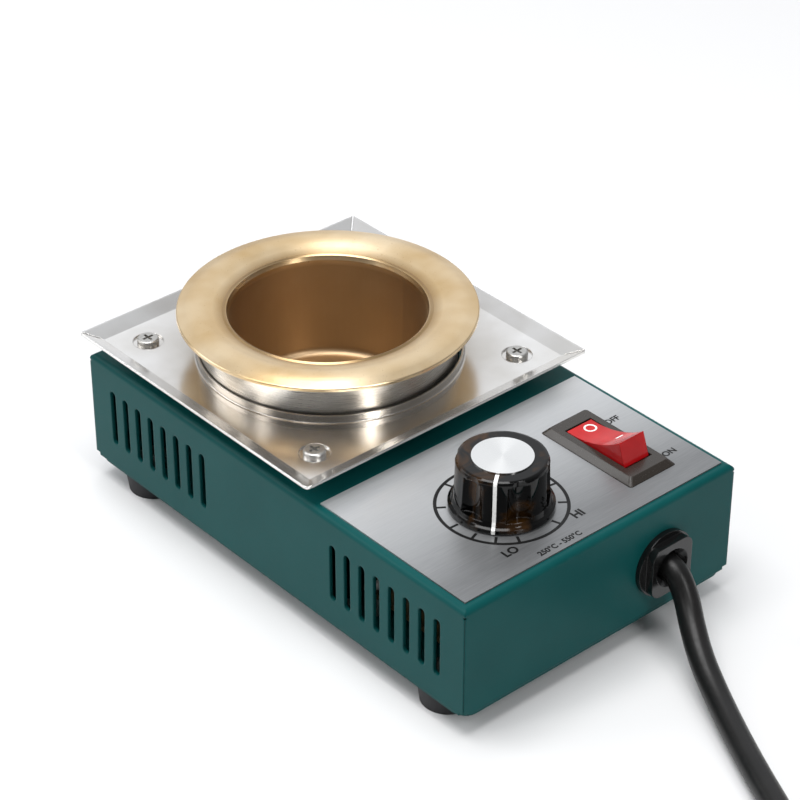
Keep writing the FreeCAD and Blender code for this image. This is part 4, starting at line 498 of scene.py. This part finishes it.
PRINT_LEVEL = (LABEL_TOP + 0.012) * MM
PRINT_HALF_THICK = 0.01
CAPITAL_HEIGHT = 0.73  # of the letters' nominal size
DIAL = (-9.74, -47.12)
RING_OUTSIDE, RING_INSIDE = 16.2, 15.35
TICK_INSIDE, TICK_WIDTH = 13.2, 0.7
LOW_MARK = -117.4
TICKS = (0, 21, 42, 66, 98, 135, 164, 193, 222, 251, 281, 314)  # on from the low mark, clockwise
WORDS = (  # name, text, centre, height, thickening
    ("mark_low", "LO", (-21.0, -62.2), 2.4, 0.13),
    ("mark_high", "HI", (1.0, -61.7), 2.5, 0.13),
    ("mark_off", "OFF", (34.6, -39.2), 1.9, 0.08),
    ("mark_on", "ON", (35.2, -58.1), 1.9, 0.08),
    ("mark_range", "250°C - 550°C", (-10.2, -67.3), 1.6, 0.08),
)


def circle(centre, radius, count=96):
    return [
        (centre[0] + radius * math.cos(step), centre[1] + radius * math.sin(step))
        for step in (2 * math.pi * number / count for number in range(count))
    ]


def tick(angle):
    """A straight mark along a radius of the dial, from its ring inwards."""
    x, y = math.cos(math.radians(angle)), math.sin(math.radians(angle))
    half = TICK_WIDTH / 2
    ends = ((TICK_INSIDE, -half), (RING_INSIDE, -half), (RING_INSIDE, half), (TICK_INSIDE, half))
    return [(DIAL[0] + x * reach - y * side, DIAL[1] + y * reach + x * side) for reach, side in ends]


def printed_shape(name, outlines):
    """A thin flat shape between closed outlines."""
    shape = bpy.data.curves.new(name, "CURVE")
    shape.dimensions = "2D"
    shape.fill_mode = "BOTH"
    shape.extrude = PRINT_HALF_THICK * MM
    for outline in outlines:
        line = shape.splines.new("POLY")
        line.points.add(len(outline) - 1)
        for point, (across, up) in zip(line.points, outline):
            point.co = (across * MM, up * MM, 0.0, 1.0)
        line.use_cyclic_u = True
    shape.materials.append(ink.material)
    made = show(name, shape)
    made.location.z = PRINT_LEVEL
    return made


def printed_word(name, text, centre, height, thickening):
    """Plain letters that are read from the front."""
    line = bpy.data.curves.new(name, "FONT")
    line.body = text
    line.size = height / CAPITAL_HEIGHT * MM
    line.align_x = "CENTER"
    line.align_y = "CENTER"
    line.extrude = PRINT_HALF_THICK * MM
    line.offset = thickening * MM
    line.materials.append(ink.material)
    made = show(name, line)
    made.location = (centre[0] * MM, centre[1] * MM, PRINT_LEVEL)
    return made


printed = [
    printed_shape("dial_ring", [circle(DIAL, RING_OUTSIDE), circle(DIAL, RING_INSIDE)]),
    printed_shape("dial_ticks", [tick(LOW_MARK - turned) for turned in TICKS]),
    *(printed_word(*word) for word in WORDS),
]
for piece in printed:
    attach(piece, "pot")


# Rocker marks, bent to its hollowed top, in millimetres about its pivot

ROCKER_PIVOT = (25.2, -47.2, 38.0)
ROCKER_TILT = math.radians(-17.5)
ROCKER_HALF, ROCKER_RISE, ROCKER_DIP = 9.2, 4.2, 1.6
HOLLOW = (ROCKER_HALF**2 + ROCKER_DIP**2) / (2 * ROCKER_DIP)
MARK_SUNK, MARK_PROUD = -0.04, 0.05
MARK_O, O_OUTSIDE, O_INSIDE = (1.2, 6.6), 1.65, 1.2
MARK_I, I_HALF_LONG, I_HALF_WIDE = (1.2, -3.5), 1.1, 0.3
I_CORE = 0.1  # size of the opening in the strip's middle, against the strip
OBLONG = ((-1, -1), (0, -1), (1, -1), (1, 0), (1, 1), (0, 1), (-1, 1), (-1, 0))


def on_rocker(across, along, lift):
    """A point in metres on the rocker's top, from its own millimetres."""
    up = ROCKER_RISE - ROCKER_DIP + HOLLOW - math.sqrt(HOLLOW**2 - along**2) + lift
    cosine, sine = math.cos(ROCKER_TILT), math.sin(ROCKER_TILT)
    x, y, z = ROCKER_PIVOT
    return mm(x + across, y + along * cosine - up * sine, z + along * sine + up * cosine)


def oblong(scale):
    """The loop of the straight mark, at full size or smaller about its middle."""
    return [
        (MARK_I[0] + across * I_HALF_LONG * scale, MARK_I[1] + along * I_HALF_WIDE * scale)
        for across, along in OBLONG
    ]


def rocker_mark(name, outer, inner):
    """A thin raised strip between two loops of points on the rocker's top."""
    count = len(outer)
    sections = ((outer, MARK_SUNK), (outer, MARK_PROUD), (inner, MARK_PROUD), (inner, MARK_SUNK))
    points = [on_rocker(across, along, lift) for loop, lift in sections for across, along in loop]
    faces = []
    for ring in range(len(sections)):
        low, high = ring * count, (ring + 1) % len(sections) * count
        for step in range(count):
            after = (step + 1) % count
            faces.append((low + step, low + after, high + after, high + step))
    mesh = bpy.data.meshes.new(name)
    mesh.from_pydata(points, [], faces)
    mesh.materials.append(mark.material)
    made = show(name, mesh)
    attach(made, "rocker")


rocker_mark("mark_o", circle(MARK_O, O_OUTSIDE, count=48), circle(MARK_O, O_INSIDE, count=48))
rocker_mark("mark_i", oblong(1.0), oblong(I_CORE))


# Floor

FLOOR_HALF = 6.0

bench = Finish("floor", (0.74, 0.74, 0.745), 0.6)
cloud = bench.noise(bench.place, 6, detail=2.0)
bench.set("Base Color", bench.blend(cloud, (0.73, 0.73, 0.737), (0.75, 0.75, 0.753)))
floor_mesh = bpy.data.meshes.new("floor")
corners = [(x * FLOOR_HALF, y * FLOOR_HALF, 0) for x, y in ((-1, -1), (1, -1), (1, 1), (-1, 1))]
floor_mesh.from_pydata(corners, [], [(0, 1, 2, 3)])
floor_mesh.materials.append(bench.material)
floor = show("floor", floor_mesh)


# Light, in metres and watts


def softbox(name, place, target, width, height, power):
    light = bpy.data.lights.new(name, "AREA")
    light.shape = "RECTANGLE"
    light.size, light.size_y = width, height
    light.energy = power
    aim(show(name, light), place, target)


softbox("overhead", (-0.2, 0.05, 1.35), (0, 0, 0), 0.9, 0.9, 17)
softbox("back_left", (-0.9, 1.0, 0.85), (0, 0, 0.03), 0.9, 0.6, 6)
softbox("left_strip", (-0.78, 0.16, 0.6), (0, 0.03, 0.04), 0.14, 0.7, 1.2)
softbox("right_strip", (-0.06, -0.8, 0.6), (0, 0.03, 0.04), 0.14, 0.7, 3.4)

# The room is dim, with one wide bright window where the flat tops mirror it

TOWARDS_FRONT = (-0.62, -0.78, 0.1)
TOWARDS_MIRRORED = (0.513, 0.625, 0.588)

world = bpy.data.worlds.new("studio")
world.use_nodes = True
room = world.node_tree
toward = room.nodes.new("ShaderNodeTexCoord").outputs["Generated"]


def glow(direction, start, end, at_start, at_end):
    """Brightness that changes smoothly over the room, along one direction."""
    facing = room.nodes.new("ShaderNodeVectorMath")
    facing.operation = "DOT_PRODUCT"
    facing.inputs[1].default_value = direction
    room.links.new(toward, facing.inputs[0])
    change = room.nodes.new("ShaderNodeMapRange")
    change.interpolation_type = "SMOOTHSTEP"
    room.links.new(facing.outputs["Value"], change.inputs["Value"])
    limits = {"From Min": start, "From Max": end, "To Min": at_start, "To Max": at_end}
    for socket, value in limits.items():
        change.inputs[socket].default_value = value
    return change.outputs[0]


total = room.nodes.new("ShaderNodeMath")
room.links.new(glow(TOWARDS_FRONT, -0.6, 0.6, 0.46, 0.17), total.inputs[0])
room.links.new(glow(TOWARDS_MIRRORED, 0.76, 0.93, 0.0, 0.56), total.inputs[1])
sky = room.nodes["Background"]
sky.inputs["Color"].default_value = (0.95, 0.97, 1.0, 1.0)
room.links.new(total.outputs[0], sky.inputs["Strength"])
bpy.context.scene.world = world
bpy.context.scene.view_settings.view_transform = "Standard"
